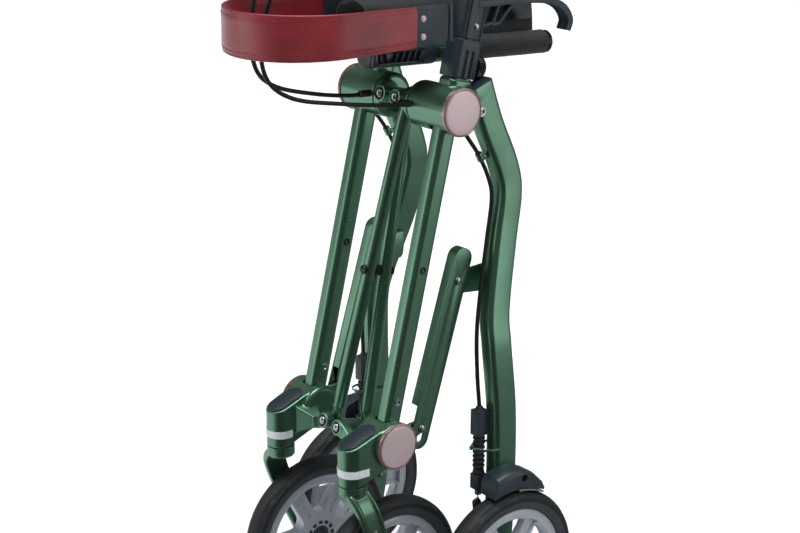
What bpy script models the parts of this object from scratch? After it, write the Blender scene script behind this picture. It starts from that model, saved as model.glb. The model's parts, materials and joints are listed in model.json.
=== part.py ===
"""Folding rollator walker, standing folded.

Frame of reference: +X is the user's left, -Y is forward (the casters lead),
+Z is up.  The ground is Z = 0.  Each side is built by one function from the
same numbers, with side = +1 on the left and -1 on the right.
"""
import math

import bmesh
import bpy
from mathutils import Matrix, Vector

for old in list(bpy.data.objects):
    bpy.data.objects.remove(old, do_unlink=True)

# ---------------------------------------------------------------- dimensions
GAP = 0.0003                     # air between neighbouring pieces
CENTRE_Y = 0.00585                # moves the box of the walker onto the origin

WHEEL_R = 0.100
TYRE_HALF = 0.014                # half the tyre's width
RIM_R = 0.0785
WELL_R = 0.0665                  # inner edge of the rim's ring
WHEEL_HUB_R = 0.022
WINDOWS = 6
WHEEL_SIDES = 28

SIDE_X = 0.0705                  # plane of the front leg and of the caster
HUB_R = 0.0262
BORE_R = 0.0225
BARREL_R = 0.0217
HUB_SIDES = 20
HUB_FACE_X = 0.0913
TOP_SLOPE = 0.376                # rise of the caster housing's top, per metre back
CAP_R = 0.0272
CAP_X = 0.0971
UPPER = Vector((0.0, 0.0, 0.6435))
LOWER = Vector((0.0, -0.0896, 0.2735))
CASTER = Vector((SIDE_X, -0.1360, 0.2335))
FRONT_WHEEL = Vector((SIDE_X, -0.0875, WHEEL_R))
REAR_WHEEL = Vector((0.1459, 0.0306, WHEEL_R))

LEG_HALF_X = 0.0100
LEG_HALF_Y = 0.0115
REAR_HALF_X = 0.0110
REAR_HALF_Y = 0.0165

HINGE_X = 0.0134
HINGE_TOP = Vector((0.0, -0.0297, 0.6518))
HINGE_LOW = Vector((0.0, -0.1161, 0.2765))
BRACE_R = 0.0075
BRACE_A_DEPTH = 0.0200           # centre of each brace behind the screw heads
BRACE_B_DEPTH = 0.0427
PIVOT_DOWN = 0.1985              # the crossing, down from the upper hinges
LUG_R = 0.0096
LUG_THICK = 0.0100

LINK_LOW = Vector((0.0830, -0.0451, 0.2789))
LINK_TOP = Vector((0.0830, 0.0069, 0.4465))
LINK_TAIL = 0.0385               # link above its upper pin
LINK_HALF = 0.0130
LINK_PLATE = 0.0024

POST_X = 0.0685
POST_BASE = Vector((POST_X, 0.0140, 0.6760))
POST_R = 0.0105
COLLAR = (0.6770, 0.7184)        # heights of the collar's two ends
BRACKET = (0.7189, 0.8150)
GRIP_Z = 0.9140

RAIL_X = 0.0345
RAIL_FRONT = Vector((RAIL_X, -0.0880, 0.7060))
RAIL_BACK = Vector((RAIL_X, 0.1800, 0.6945))
RAIL_R = 0.0125
KNOB_R = 0.0140

FINISHES = {                     # colour, metallic, roughness
    "green": ((0.035, 0.110, 0.062), 0.75, 0.38),
    "black": ((0.020, 0.024, 0.027), 0.0, 0.50),
    "rubber": ((0.018, 0.020, 0.022), 0.0, 0.75),
    "silver": ((0.62, 0.65, 0.68), 0.55, 0.35),
    "rose": ((0.66, 0.52, 0.51), 0.65, 0.35),
    "steel": ((0.60, 0.61, 0.62), 1.0, 0.28),
    "leather": ((0.33, 0.035, 0.045), 0.0, 0.50),
    "fabric": ((0.016, 0.018, 0.020), 0.0, 0.80),
}

SLANT = math.atan2(UPPER.y - LOWER.y, UPPER.z - LOWER.z)
LEG_DIR = Vector((0.0, -math.sin(SLANT), -math.cos(SLANT)))
POST_DIR = -LEG_DIR
BRACE_DOWN = (HINGE_LOW - HINGE_TOP).normalized()
BRACE_AXIS = Vector((0.0, -BRACE_DOWN.z, BRACE_DOWN.y))
X_AXIS = Vector((1.0, 0.0, 0.0))


# ------------------------------------------------------------------- helpers
def loft(bm, rings, closed=False):
    """Join rings of equal count; close the ends, or join last to first."""
    rows = [[bm.verts.new(p) for p in ring] for ring in rings]
    count = len(rows[0])
    pairs = list(zip(rows, rows[1:]))
    if closed:
        pairs.append((rows[-1], rows[0]))
    for low, high in pairs:
        for i in range(count):
            j = (i + 1) % count
            bm.faces.new((low[i], low[j], high[j], high[i]))
    if not closed:
        bm.faces.new(rows[0])
        bm.faces.new(reversed(rows[-1]))


def circle(centre, axis, radius, count, start=0.0):
    """Points of a circle about an axis through the centre."""
    axis = Vector(axis).normalized()
    first = axis.cross(X_AXIS)
    if first.length < 0.1:
        first = Vector((0.0, 0.0, 1.0))
    first = first.normalized()
    second = axis.cross(first)
    points = []
    for i in range(count):
        turn = start + 2.0 * math.pi * i / count
        points.append(
            Vector(centre) + radius * (math.cos(turn) * first + math.sin(turn) * second)
        )
    return points


def rod(bm, start, end, radius, count=16, end_radius=None):
    """A straight round bar."""
    start = Vector(start)
    end = Vector(end)
    last = radius if end_radius is None else end_radius
    axis = end - start
    loft(bm, [circle(start, axis, radius, count), circle(end, axis, last, count)])


def block(bm, low, high):
    """An axis-aligned box between two corners."""
    low = Vector(low)
    high = Vector(high)
    size = high - low
    middle = Matrix.Translation((low + high) / 2.0)
    bmesh.ops.create_cube(bm, size=1.0, matrix=middle @ Matrix.Diagonal((*size, 1.0)))


def turned(bm, profile, centre, count, axis=X_AXIS):
    """Turn a closed outline of (along, radius) points about an axis."""
    axis = Vector(axis)
    rings = [
        circle(Vector(centre) + axis * along, axis, radius, count)
        for along, radius in profile
    ]
    loft(bm, rings, closed=True)


def capped(bm, profile, centre, count, axis=X_AXIS):
    """Turn an open outline; its two ends are closed by flat discs."""
    axis = Vector(axis)
    loft(bm, [
        circle(Vector(centre) + axis * along, axis, radius, count)
        for along, radius in profile
    ])


def rounded(half_a, half_b, radius, steps=2):
    """Corner-rounded rectangle as (a, b) pairs."""
    points = []
    for quarter in range(4):
        sign_a = 1.0 if quarter in (0, 3) else -1.0
        sign_b = 1.0 if quarter in (0, 1) else -1.0
        for i in range(steps + 1):
            turn = math.pi / 2.0 * (quarter + i / steps)
            points.append((
                sign_a * (half_a - radius) + radius * math.cos(turn),
                sign_b * (half_b - radius) + radius * math.sin(turn),
            ))
    return points


def smooth_path(points, steps):
    """Catmull-Rom curve through the points."""
    points = [Vector(p) for p in points]
    ends = [2 * points[0] - points[1]] + points + [2 * points[-1] - points[-2]]
    path = []
    for i in range(1, len(ends) - 2):
        before, start, end, after = ends[i - 1:i + 3]
        for k in range(steps):
            t = k / steps
            path.append(0.5 * (
                2 * start + (end - before) * t
                + (2 * before - 5 * start + 4 * end - after) * t ** 2
                + (3 * start - before - 3 * end + after) * t ** 3
            ))
    path.append(points[-1])
    return path


def swept(bm, path, outline):
    """Sweep an outline; its first axis stays as near to X as it can."""
    rings = []
    for i, point in enumerate(path):
        ahead = path[min(i + 1, len(path) - 1)]
        behind = path[max(i - 1, 0)]
        along = (ahead - behind).normalized()
        across = (X_AXIS - along * along.x).normalized()
        depth = along.cross(across)
        rings.append([point + across * a + depth * b for a, b in outline])
    loft(bm, rings)


def extruded(bm, outline, x_from, x_to):
    """Extrude a (y, z) outline along X."""
    loft(bm, [[Vector((x, y, z)) for y, z in outline] for x in (x_from, x_to)])


def hull(bm, points):
    """Convex body round a set of points."""
    verts = [bm.verts.new(p) for p in points]
    found = bmesh.ops.convex_hull(bm, input=verts)
    spare = set(found["geom_interior"]) | set(found["geom_unused"])
    spare = [v for v in spare if isinstance(v, bmesh.types.BMVert)]
    bmesh.ops.delete(bm, geom=spare, context="VERTS")
    bmesh.ops.dissolve_limit(bm, angle_limit=0.01, verts=bm.verts, edges=bm.edges)


def mirrored(point, side):
    return Vector((point[0] * side, point[1], point[2]))


def make_mesh(name, build, side, origin):
    bm = bmesh.new()
    build(bm)
    if side < 0:
        bmesh.ops.scale(bm, vec=(-1.0, 1.0, 1.0), verts=bm.verts)
    bmesh.ops.recalc_face_normals(bm, faces=bm.faces)
    bmesh.ops.translate(bm, vec=-origin, verts=bm.verts)
    mesh = bpy.data.meshes.new(name)
    bm.to_mesh(mesh)
    bm.free()
    return mesh


def piece(name, finish, build, side=1, pivot=(0.0, 0.0, 0.0), smooth=35.0):
    """One sub-part: its mesh, its own material and its origin on its pivot."""
    origin = mirrored(pivot, side)
    mesh = make_mesh(name, build, side, origin)
    mesh.shade_smooth()
    mesh.set_sharp_from_angle(angle=math.radians(smooth))
    colour, metallic, roughness = FINISHES[finish]
    material = bpy.data.materials.new(name + "_finish")
    material.use_nodes = True
    shader = material.node_tree.nodes["Principled BSDF"]
    shader.inputs["Base Color"].default_value = (*colour, 1.0)
    shader.inputs["Metallic"].default_value = metallic
    shader.inputs["Roughness"].default_value = roughness
    mesh.materials.append(material)
    ob = bpy.data.objects.new(name, mesh)
    ob.location = origin
    bpy.context.scene.collection.objects.link(ob)
    ob["side"] = side
    return ob


def combine(ob, label, operation, *builds):
    """Join to a piece, or cut from it, shapes built in the same frame."""
    for number, build in enumerate(builds):
        combine_one(ob, label + str(number), operation, build)


def combine_one(ob, label, operation, build):
    tool_mesh = make_mesh(ob.name + label, build, ob["side"], ob.location)
    tool = bpy.data.objects.new("tool_" + ob.name + label, tool_mesh)
    tool.location = ob.location
    tool.hide_render = True
    tool.display_type = "WIRE"
    bpy.context.scene.collection.objects.link(tool)
    change = ob.modifiers.new(label, "BOOLEAN")
    change.operation = operation
    change.solver = "EXACT"
    change.object = tool


# ------------------------------------------------------------------- wheels
def tyre_outline():
    """Half-round tread on a square seat, as (along, radius)."""
    seat = RIM_R + GAP
    points = [(-0.0105, seat), (-0.0128, seat + 0.006)]
    for i in range(5):
        turn = math.pi * (1.0 - i / 4.0)
        points.append((
            TYRE_HALF * math.cos(turn),
            WHEEL_R - 0.0085 + 0.0085 * math.sin(turn),
        ))
    return points + [(0.0128, seat + 0.006), (0.0105, seat)]


def rim_outline():
    """Ring, web and hub of the rim in one outline."""
    half = [(-0.0115, WHEEL_HUB_R), (-0.0050, WELL_R), (-0.0095, WELL_R + 0.002), (-0.0095, RIM_R)]
    return half + [(-along, radius) for along, radius in reversed(half)]


def wheel(prefix, suffix, side, centre):
    centre = Vector(centre)

    def tyre(bm):
        turned(bm, tyre_outline(), centre, WHEEL_SIDES)

    def rim(bm):
        capped(bm, rim_outline(), centre, WHEEL_SIDES)

    def windows(bm):
        for k in range(WINDOWS):
            turn = 2.0 * math.pi * (k + 0.45) / WINDOWS
            outline = []
            for radius, spread in (
                (0.0300, 0.14), (0.0600, 0.40), (0.0640, 0.30),
                (0.0640, -0.30), (0.0600, -0.40), (0.0300, -0.14),
            ):
                outline.append((
                    centre.y + radius * math.cos(turn + spread),
                    centre.z + radius * math.sin(turn + spread),
                ))
            extruded(bm, outline, centre.x - 0.02, centre.x + 0.02)

    piece(prefix + "_tyre_" + suffix, "rubber", tyre, side, centre)
    ob = piece(prefix + "_rim_" + suffix, "silver", rim, side, centre)
    combine(ob, "_windows", "DIFFERENCE", windows)


# --------------------------------------------------------------- side frames
def hub_slot(bm, centre, direction, swing, reach):
    """Opening in a hub's wall through which the leg passes and swings."""
    half_y = LEG_HALF_Y + BORE_R * math.sin(swing) + 0.0012
    half_x = LEG_HALF_X + 0.0006
    turned_dir = Matrix.Rotation(-swing, 3, "X") @ direction
    across = X_AXIS.cross(turned_dir)
    corners = []
    for along in (0.008, reach):
        ring = []
        for a, b in ((1, 1), (-1, 1), (-1, -1), (1, -1)):
            ring.append(
                centre + turned_dir * along
                + X_AXIS * (SIDE_X + a * half_x) + across * b * half_y
            )
        corners.append(ring)
    loft(bm, corners)


def lug(bm, x, top, depth):
    """Round eye of a brace hinge, from just behind the screw's head."""
    centre = Vector((x, top.y, top.z))
    rod(bm, centre + BRACE_AXIS * 0.0015, centre + BRACE_AXIS * depth, LUG_R, 14)


def upper_side(side, tag):
    swing = math.radians(5.0)

    def hub(bm):
        turned(bm, [
            (0.0303, 0.0110), (0.0303, HUB_R - 0.0012), (0.0315, HUB_R),
            (HUB_FACE_X, HUB_R), (HUB_FACE_X, BORE_R), (0.0345, BORE_R), (0.0345, 0.0110),
        ], UPPER, HUB_SIDES)

    def stub(bm):
        start = POST_BASE + POST_DIR * -0.0125
        end = POST_BASE + POST_DIR * 0.0006
        outline = rounded(0.0125, 0.0150, 0.006)
        swept(bm, [start, end], outline)

    def slot(bm):
        hub_slot(bm, UPPER, LEG_DIR, swing, 0.040)

    def bore(bm):
        rod(bm, UPPER + X_AXIS * 0.0347, UPPER + X_AXIS * 0.0995, BORE_R - 0.0001, HUB_SIDES)

    ob = piece("upper_hub_" + tag, "green", hub, side, UPPER)
    combine(ob, "_stub", "UNION", stub)
    combine(ob, "_bore", "DIFFERENCE", bore)
    combine(ob, "_slot", "DIFFERENCE", slot)

    def cap(bm):
        capped(bm, [
            (HUB_FACE_X + GAP, 0.0262), (0.0925, CAP_R), (0.0950, CAP_R),
            (0.0966, 0.0262), (CAP_X, 0.0245), (0.0968, 0.0225), (CAP_X + 0.0004, 0.0120),
        ], UPPER, HUB_SIDES)

    piece("upper_hub_cap_" + tag, "rose", cap, side, UPPER)

    def leg(bm):
        start = UPPER + X_AXIS * SIDE_X + LEG_DIR * 0.015
        end = LOWER + X_AXIS * SIDE_X - LEG_DIR * 0.015
        swept(bm, [start, end], rounded(LEG_HALF_X, LEG_HALF_Y, 0.0075))

    def barrels(bm):
        for hub_axis in (UPPER, LOWER):
            rod(bm, hub_axis + X_AXIS * 0.0550, hub_axis + X_AXIS * 0.0900, BARREL_R, HUB_SIDES)

    ob = piece("front_leg_" + tag, "green", leg, side, UPPER)
    combine(ob, "_barrels", "UNION", barrels)

    depth = 0.0115 if side > 0 else 0.0342

    def hinge(bm):
        hull(bm, circle(UPPER + X_AXIS * 0.0300, X_AXIS, 0.0250, 20)
             + circle(UPPER + X_AXIS * 0.0240, X_AXIS, 0.0225, 20)
             + circle(Vector((HINGE_X + 0.004, -0.0225, 0.6505)), X_AXIS, 0.0085, 12))

    def eye(bm):
        lug(bm, HINGE_X, HINGE_TOP, depth)

    def head(bm):
        eye_centre = Vector((HINGE_X, HINGE_TOP.y, HINGE_TOP.z))
        rod(bm, eye_centre - BRACE_AXIS * 0.0008, eye_centre + BRACE_AXIS * 0.004, 0.0062, 10)

    def pin(bm):
        start = Vector((HINGE_X, HINGE_TOP.y, HINGE_TOP.z)) + BRACE_AXIS * 0.004
        rod(bm, start, start + BRACE_AXIS * (depth + 0.0105), 0.0030, 8)

    def shaft(bm):
        rod(bm, UPPER + X_AXIS * 0.0280, UPPER + X_AXIS * (0.0550 - GAP), 0.0105, 14)

    def clearance(bm):
        # the brace of this side passes behind the eye and inside the cone
        reach = BRACE_A_DEPTH if side > 0 else BRACE_B_DEPTH
        middle = Vector((HINGE_X, HINGE_TOP.y, HINGE_TOP.z)) + BRACE_AXIS * reach
        loft(bm, [
            [middle + BRACE_DOWN * down + X_AXIS * a + BRACE_AXIS * b
             for a, b in ((0.0096, 0.0079), (-0.0096, 0.0079), (-0.0096, -0.0079), (0.0096, -0.0079))]
            for down in (-0.0125, 0.0500)
        ])

    ob = piece("hinge_lug_" + tag, "green", hinge, side, UPPER)
    combine(ob, "_eye", "UNION", eye, head)
    combine(ob, "_shaft", "UNION", shaft)
    combine(ob, "_room", "DIFFERENCE", clearance)
    combine(ob, "_pin", "UNION", pin)


LEG_PATH = (
    (0.0830, 0.0345, 0.6605), (0.0830, 0.0480, 0.6240), (0.0835, 0.0715, 0.5730),
    (0.0850, 0.0775, 0.5390), (0.0900, 0.0660, 0.4850), (0.1050, 0.0440, 0.4100),
    (0.1135, 0.0400, 0.3700), (0.1190, 0.0435, 0.3000), (0.1190, 0.0455, 0.2350),
    (0.1190, 0.0430, 0.1400), (0.1190, 0.0330, 0.0780),
)


def rear_side(side, tag):
    def leg(bm):
        path = smooth_path(LEG_PATH, 2)
        swept(bm, path, rounded(REAR_HALF_X, REAR_HALF_Y, 0.0080, 2))

    def axle(bm):
        start = Vector((0.1200, REAR_WHEEL.y, REAR_WHEEL.z))
        rod(bm, start, REAR_WHEEL - X_AXIS * (0.0115 + GAP), 0.0090, 16)

    def plate(bm):
        extruded(bm, [
            (LINK_TOP.y - 0.0055, 0.4390), (LINK_TOP.y - 0.0092, 0.4465),
            (LINK_TOP.y - 0.0055, 0.4540), (0.0560, 0.4590), (0.0540, 0.4250), (0.0120, 0.4320),
        ], 0.0772, 0.0802)

    def plate_root(bm):
        block(bm, (0.0790, 0.0400, 0.4280), (0.0960, 0.0540, 0.4560))

    def clear_hub(bm):
        rod(bm, UPPER + X_AXIS * 0.0650, UPPER + X_AXIS * 0.1050, HUB_R + 0.0016, 28)

    def clear_stub(bm):
        swept(bm, [POST_BASE - POST_DIR * 0.0200, POST_BASE + POST_DIR * 0.0200],
              rounded(0.0132, 0.0157, 0.002, 1))

    def plate_pin(bm):
        rod(bm, (0.0780, LINK_TOP.y, LINK_TOP.z), (0.0845, LINK_TOP.y, LINK_TOP.z), 0.0030, 8)

    ob = piece("rear_leg_" + tag, "green", leg, side, REAR_WHEEL)
    combine(ob, "_clear", "DIFFERENCE", clear_hub, clear_stub)
    combine(ob, "_axle", "UNION", axle)
    combine(ob, "_plate", "UNION", plate, plate_root)
    combine(ob, "_pin", "UNION", plate_pin)

    def guard(bm):
        centre = REAR_WHEEL
        outline = []
        for i in range(9):
            turn = math.radians(104.0 - 44.0 * i / 8.0)
            outline.append((
                centre.y + 0.1050 * math.cos(turn),
                centre.z + 0.1050 * math.sin(turn),
            ))
        outline += [
            (0.0855, 0.1950), (0.0800, 0.2060), (0.0690, 0.2170),
            (0.0520, 0.2260), (0.0300, 0.2290), (0.0060, 0.2200),
        ]
        extruded(bm, outline, 0.1190 + REAR_HALF_X + 0.0005, 0.1570)

    def guard_hole(bm):
        rod(bm, (0.150, 0.0490, 0.2165), (0.170, 0.0490, 0.2165), 0.0046, 16)

    ob = piece("brake_guard_" + tag, "black", guard, side, REAR_WHEEL)
    combine(ob, "_hole", "DIFFERENCE", guard_hole)

    def shoe(bm):
        centre = REAR_WHEEL
        outline = []
        for radius in (0.1015, 0.1040):
            ring = []
            for i in range(6):
                turn = math.radians(84.0 - 23.0 * i / 5.0)
                ring.append((
                    centre.y + radius * math.cos(turn),
                    centre.z + radius * math.sin(turn),
                ))
            outline += ring if radius < 0.102 else ring[::-1]
        extruded(bm, outline, 0.1340, 0.1560)

    piece("brake_shoe_" + tag, "steel", shoe, side, (0.1459, 0.0490, 0.2165))

    def arm(bm):
        extruded(bm, [
            (0.0150, 0.1780), (0.0240, 0.1800), (0.0480, 0.1280),
            (0.0400, 0.1220), (0.0180, 0.1560),
        ], 0.1020, 0.1075)

    piece("brake_arm_" + tag, "black", arm, side, (0.1459, 0.0490, 0.2165))

    def adjuster(bm):
        middle_y = 0.0185
        profile = [(0.2970, 0.0040), (0.2950, 0.0078), (0.2640, 0.0078)]
        for i in range(5):
            level = 0.2620 - 0.0090 * i
            profile += [(level, 0.0062), (level - 0.0035, 0.0074)]
        profile += [(0.2150, 0.0060), (0.2140, 0.0080), (0.1960, 0.0080)]
        profile += [(0.1940, 0.0035), (0.1880, 0.0033)]
        capped(bm, profile, (0.1100, middle_y, 0.0), 10, (0.0, 0.0, 1.0))

    piece("brake_adjuster_" + tag, "black", adjuster, side, (0.1100, 0.0185, 0.2400))


def lower_side(side, tag):
    swing = math.radians(5.0)

    def casting(bm):
        low = circle(CASTER, (0, 0, 1), 0.0165, 16)
        high = circle(CASTER + Vector((0, 0, 0.0440)), (0, 0, 1), 0.0158, 16)
        for point in high:
            point.z += (point.y - CASTER.y + 0.0158) * TOP_SLOPE
        rim = circle(LOWER + X_AXIS * 0.0520, X_AXIS, HUB_R - 0.0005, HUB_SIDES)
        rim += circle(LOWER + X_AXIS * (HUB_FACE_X - 0.0020), X_AXIS, HUB_R - 0.0005, HUB_SIDES)
        hull(bm, low + high + [p for p in rim if p.y < LOWER.y + 0.005])

    def barrel(bm):
        capped(bm, [(0.0470, 0.0225), (0.0500, HUB_R), (HUB_FACE_X, HUB_R)], LOWER, HUB_SIDES)

    def ear(bm):
        hull(bm, circle((0.0735, LINK_LOW.y, LINK_LOW.z), X_AXIS, 0.0085, 10)
             + circle((0.0785, LINK_LOW.y, LINK_LOW.z), X_AXIS, 0.0085, 10)
             + circle((0.0735, -0.0680, 0.2735), X_AXIS, 0.0120, 10)
             + circle((0.0785, -0.0680, 0.2735), X_AXIS, 0.0120, 10))

    def ear_pin(bm):
        rod(bm, (0.0760, LINK_LOW.y, LINK_LOW.z), (0.0845, LINK_LOW.y, LINK_LOW.z), 0.0030, 8)

    depth = 0.0115 if side < 0 else 0.0342

    def arm(bm):
        eye_centre = Vector((HINGE_X, HINGE_LOW.y, HINGE_LOW.z))
        near = circle(eye_centre + BRACE_AXIS * 0.0015 + X_AXIS * 0.003, BRACE_AXIS, 0.0085, 10)
        near += circle(eye_centre + BRACE_AXIS * 0.0105 + X_AXIS * 0.003, BRACE_AXIS, 0.0085, 10)
        root = [Vector((0.0520, y, z)) for y in (-0.1120, -0.1005) for z in (0.2600, 0.2800)]
        hull(bm, near + root)

    def eye(bm):
        lug(bm, HINGE_X, HINGE_LOW, depth)

    def head(bm):
        eye_centre = Vector((HINGE_X, HINGE_LOW.y, HINGE_LOW.z))
        rod(bm, eye_centre - BRACE_AXIS * 0.0008, eye_centre + BRACE_AXIS * 0.004, 0.0062, 10)

    def eye_pin(bm):
        start = Vector((HINGE_X, HINGE_LOW.y, HINGE_LOW.z)) + BRACE_AXIS * 0.004
        rod(bm, start, start + BRACE_AXIS * (depth + 0.0075), 0.0026, 8)

    def bore(bm):
        rod(bm, LOWER + X_AXIS * 0.0535, LOWER + X_AXIS * 0.0950, BORE_R, HUB_SIDES)

    def slot(bm):
        hub_slot(bm, LOWER, -LEG_DIR, swing, 0.045)

    def stem_hole(bm):
        rod(bm, CASTER - Vector((0, 0, 0.004)), CASTER + Vector((0, 0, 0.0300)), 0.0078, 12)

    ob = piece("lower_hub_" + tag, "green", casting, side, LOWER)
    combine(ob, "_barrel", "UNION", barrel)
    combine(ob, "_ear", "UNION", ear)
    combine(ob, "_arm", "UNION", arm)
    combine(ob, "_eye", "UNION", eye, head)
    combine(ob, "_bore", "DIFFERENCE", bore)
    combine(ob, "_slot", "DIFFERENCE", slot)
    combine(ob, "_stem", "DIFFERENCE", stem_hole)
    combine(ob, "_earpin", "UNION", ear_pin)
    combine(ob, "_pin", "UNION", eye_pin)

    def cap(bm):
        capped(bm, [
            (HUB_FACE_X + GAP, 0.0262), (0.0925, CAP_R), (0.0950, CAP_R),
            (0.0966, 0.0262), (CAP_X, 0.0245), (0.0968, 0.0225), (CAP_X + 0.0004, 0.0120),
        ], LOWER, HUB_SIDES)

    piece("lower_hub_cap_" + tag, "rose", cap, side, LOWER)

    def fork(bm):
        capped(bm, [
            (-0.0140, 0.0150), (-0.0120, 0.0165), (-GAP, 0.0165), (-GAP, 0.0070), (0.0285, 0.0070),
        ], CASTER, 18, (0, 0, 1))

    def blade(bm):
        path = smooth_path((
            (SIDE_X, CASTER.y + 0.001, CASTER.z - 0.0095),
            (SIDE_X + 0.012, CASTER.y + 0.001, CASTER.z - 0.0150),
            (SIDE_X + 0.0225, CASTER.y + 0.006, CASTER.z - 0.0330),
            (SIDE_X + 0.0225, CASTER.y + 0.022, CASTER.z - 0.0780),
            (SIDE_X + 0.0225, FRONT_WHEEL.y, FRONT_WHEEL.z - 0.004),
        ), 3)
        rings = []
        for i, point in enumerate(path):
            share = i / (len(path) - 1)
            along = (path[min(i + 1, len(path) - 1)] - path[max(i - 1, 0)]).normalized()
            wide = (Vector((0.0, 1.0, 0.0)) - along * along.y).normalized()
            thick = along.cross(wide)
            half = 0.0155 - 0.003 * share
            rings.append([
                point + wide * a + thick * b
                for a, b in rounded(half, 0.0042, 0.0030, 2)
            ])
        loft(bm, rings)

    def window(bm):
        centre = Vector((SIDE_X + 0.0225, CASTER.y + 0.0180, CASTER.z - 0.0680))
        down = Vector((0.0, 0.30, -0.954))
        side_way = Vector((0.0, 0.954, 0.30))
        rings = []
        for x in (-0.02, 0.02):
            rings.append([
                centre + X_AXIS * x + side_way * a + down * b
                for a, b in rounded(0.0052, 0.0165, 0.0051)
            ])
        loft(bm, rings)

    def fork_axle(bm):
        rod(bm, FRONT_WHEEL + X_AXIS * (0.0115 + GAP), FRONT_WHEEL + X_AXIS * 0.0285, 0.0085, 16)

    ob = piece("caster_fork_" + tag, "green", fork, side, CASTER)
    combine(ob, "_blade", "UNION", blade)
    combine(ob, "_window", "DIFFERENCE", window)
    combine(ob, "_axle", "UNION", fork_axle)

    wheel("front", tag, side, FRONT_WHEEL)
    wheel("rear", tag, side, REAR_WHEEL)


def link_side(side, tag):
    down = (LINK_LOW - LINK_TOP).normalized()
    across = X_AXIS.cross(down)
    length = (LINK_LOW - LINK_TOP).length
    foot = length + 0.0245

    def at(x, a, s):
        return Vector((x, LINK_TOP.y, LINK_TOP.z)) + across * a + down * s

    def plate(bm):
        outline = []
        for middle, first in ((-LINK_TAIL + LINK_HALF, 180.0), (foot - LINK_HALF, 0.0)):
            for i in range(9):
                turn = math.radians(first + 180.0 * i / 8.0)
                outline.append((LINK_HALF * math.cos(turn), middle + LINK_HALF * math.sin(turn)))
        rings = [[at(x, a, s) for a, s in outline] for x in (0.0830 - LINK_PLATE, 0.0830)]
        loft(bm, rings)

    def flange(bm):
        front = 1.0 if at(0.0, 1.0, 0.0).y < at(0.0, -1.0, 0.0).y else -1.0
        a_out = front * LINK_HALF
        a_in = front * (LINK_HALF - 0.0024)
        rings = []
        for s in (-LINK_TAIL + 0.0125, length - 0.0260):
            rings.append([
                at(0.0815, a_out, s), at(0.0815, a_in, s), at(0.0690, a_in, s), at(0.0690, a_out, s),
            ])
        loft(bm, rings)

    def holes(bm):
        rod(bm, at(0.0700, 0, 0), at(0.0900, 0, 0), 0.0034, 14)
        rings = []
        for x in (0.0700, 0.0900):
            rings.append([
                at(x, a, length + 0.0058 + b) for a, b in rounded(0.0040, 0.0100, 0.0039, 3)
            ])
        loft(bm, rings)

    ob = piece("side_link_" + tag, "green", plate, side, LINK_TOP)
    combine(ob, "_flange", "UNION", flange)
    combine(ob, "_holes", "DIFFERENCE", holes)


# -------------------------------------------------------- posts and handles
def post_point(height):
    return POST_BASE + POST_DIR * ((height - POST_BASE.z) / POST_DIR.z)


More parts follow.
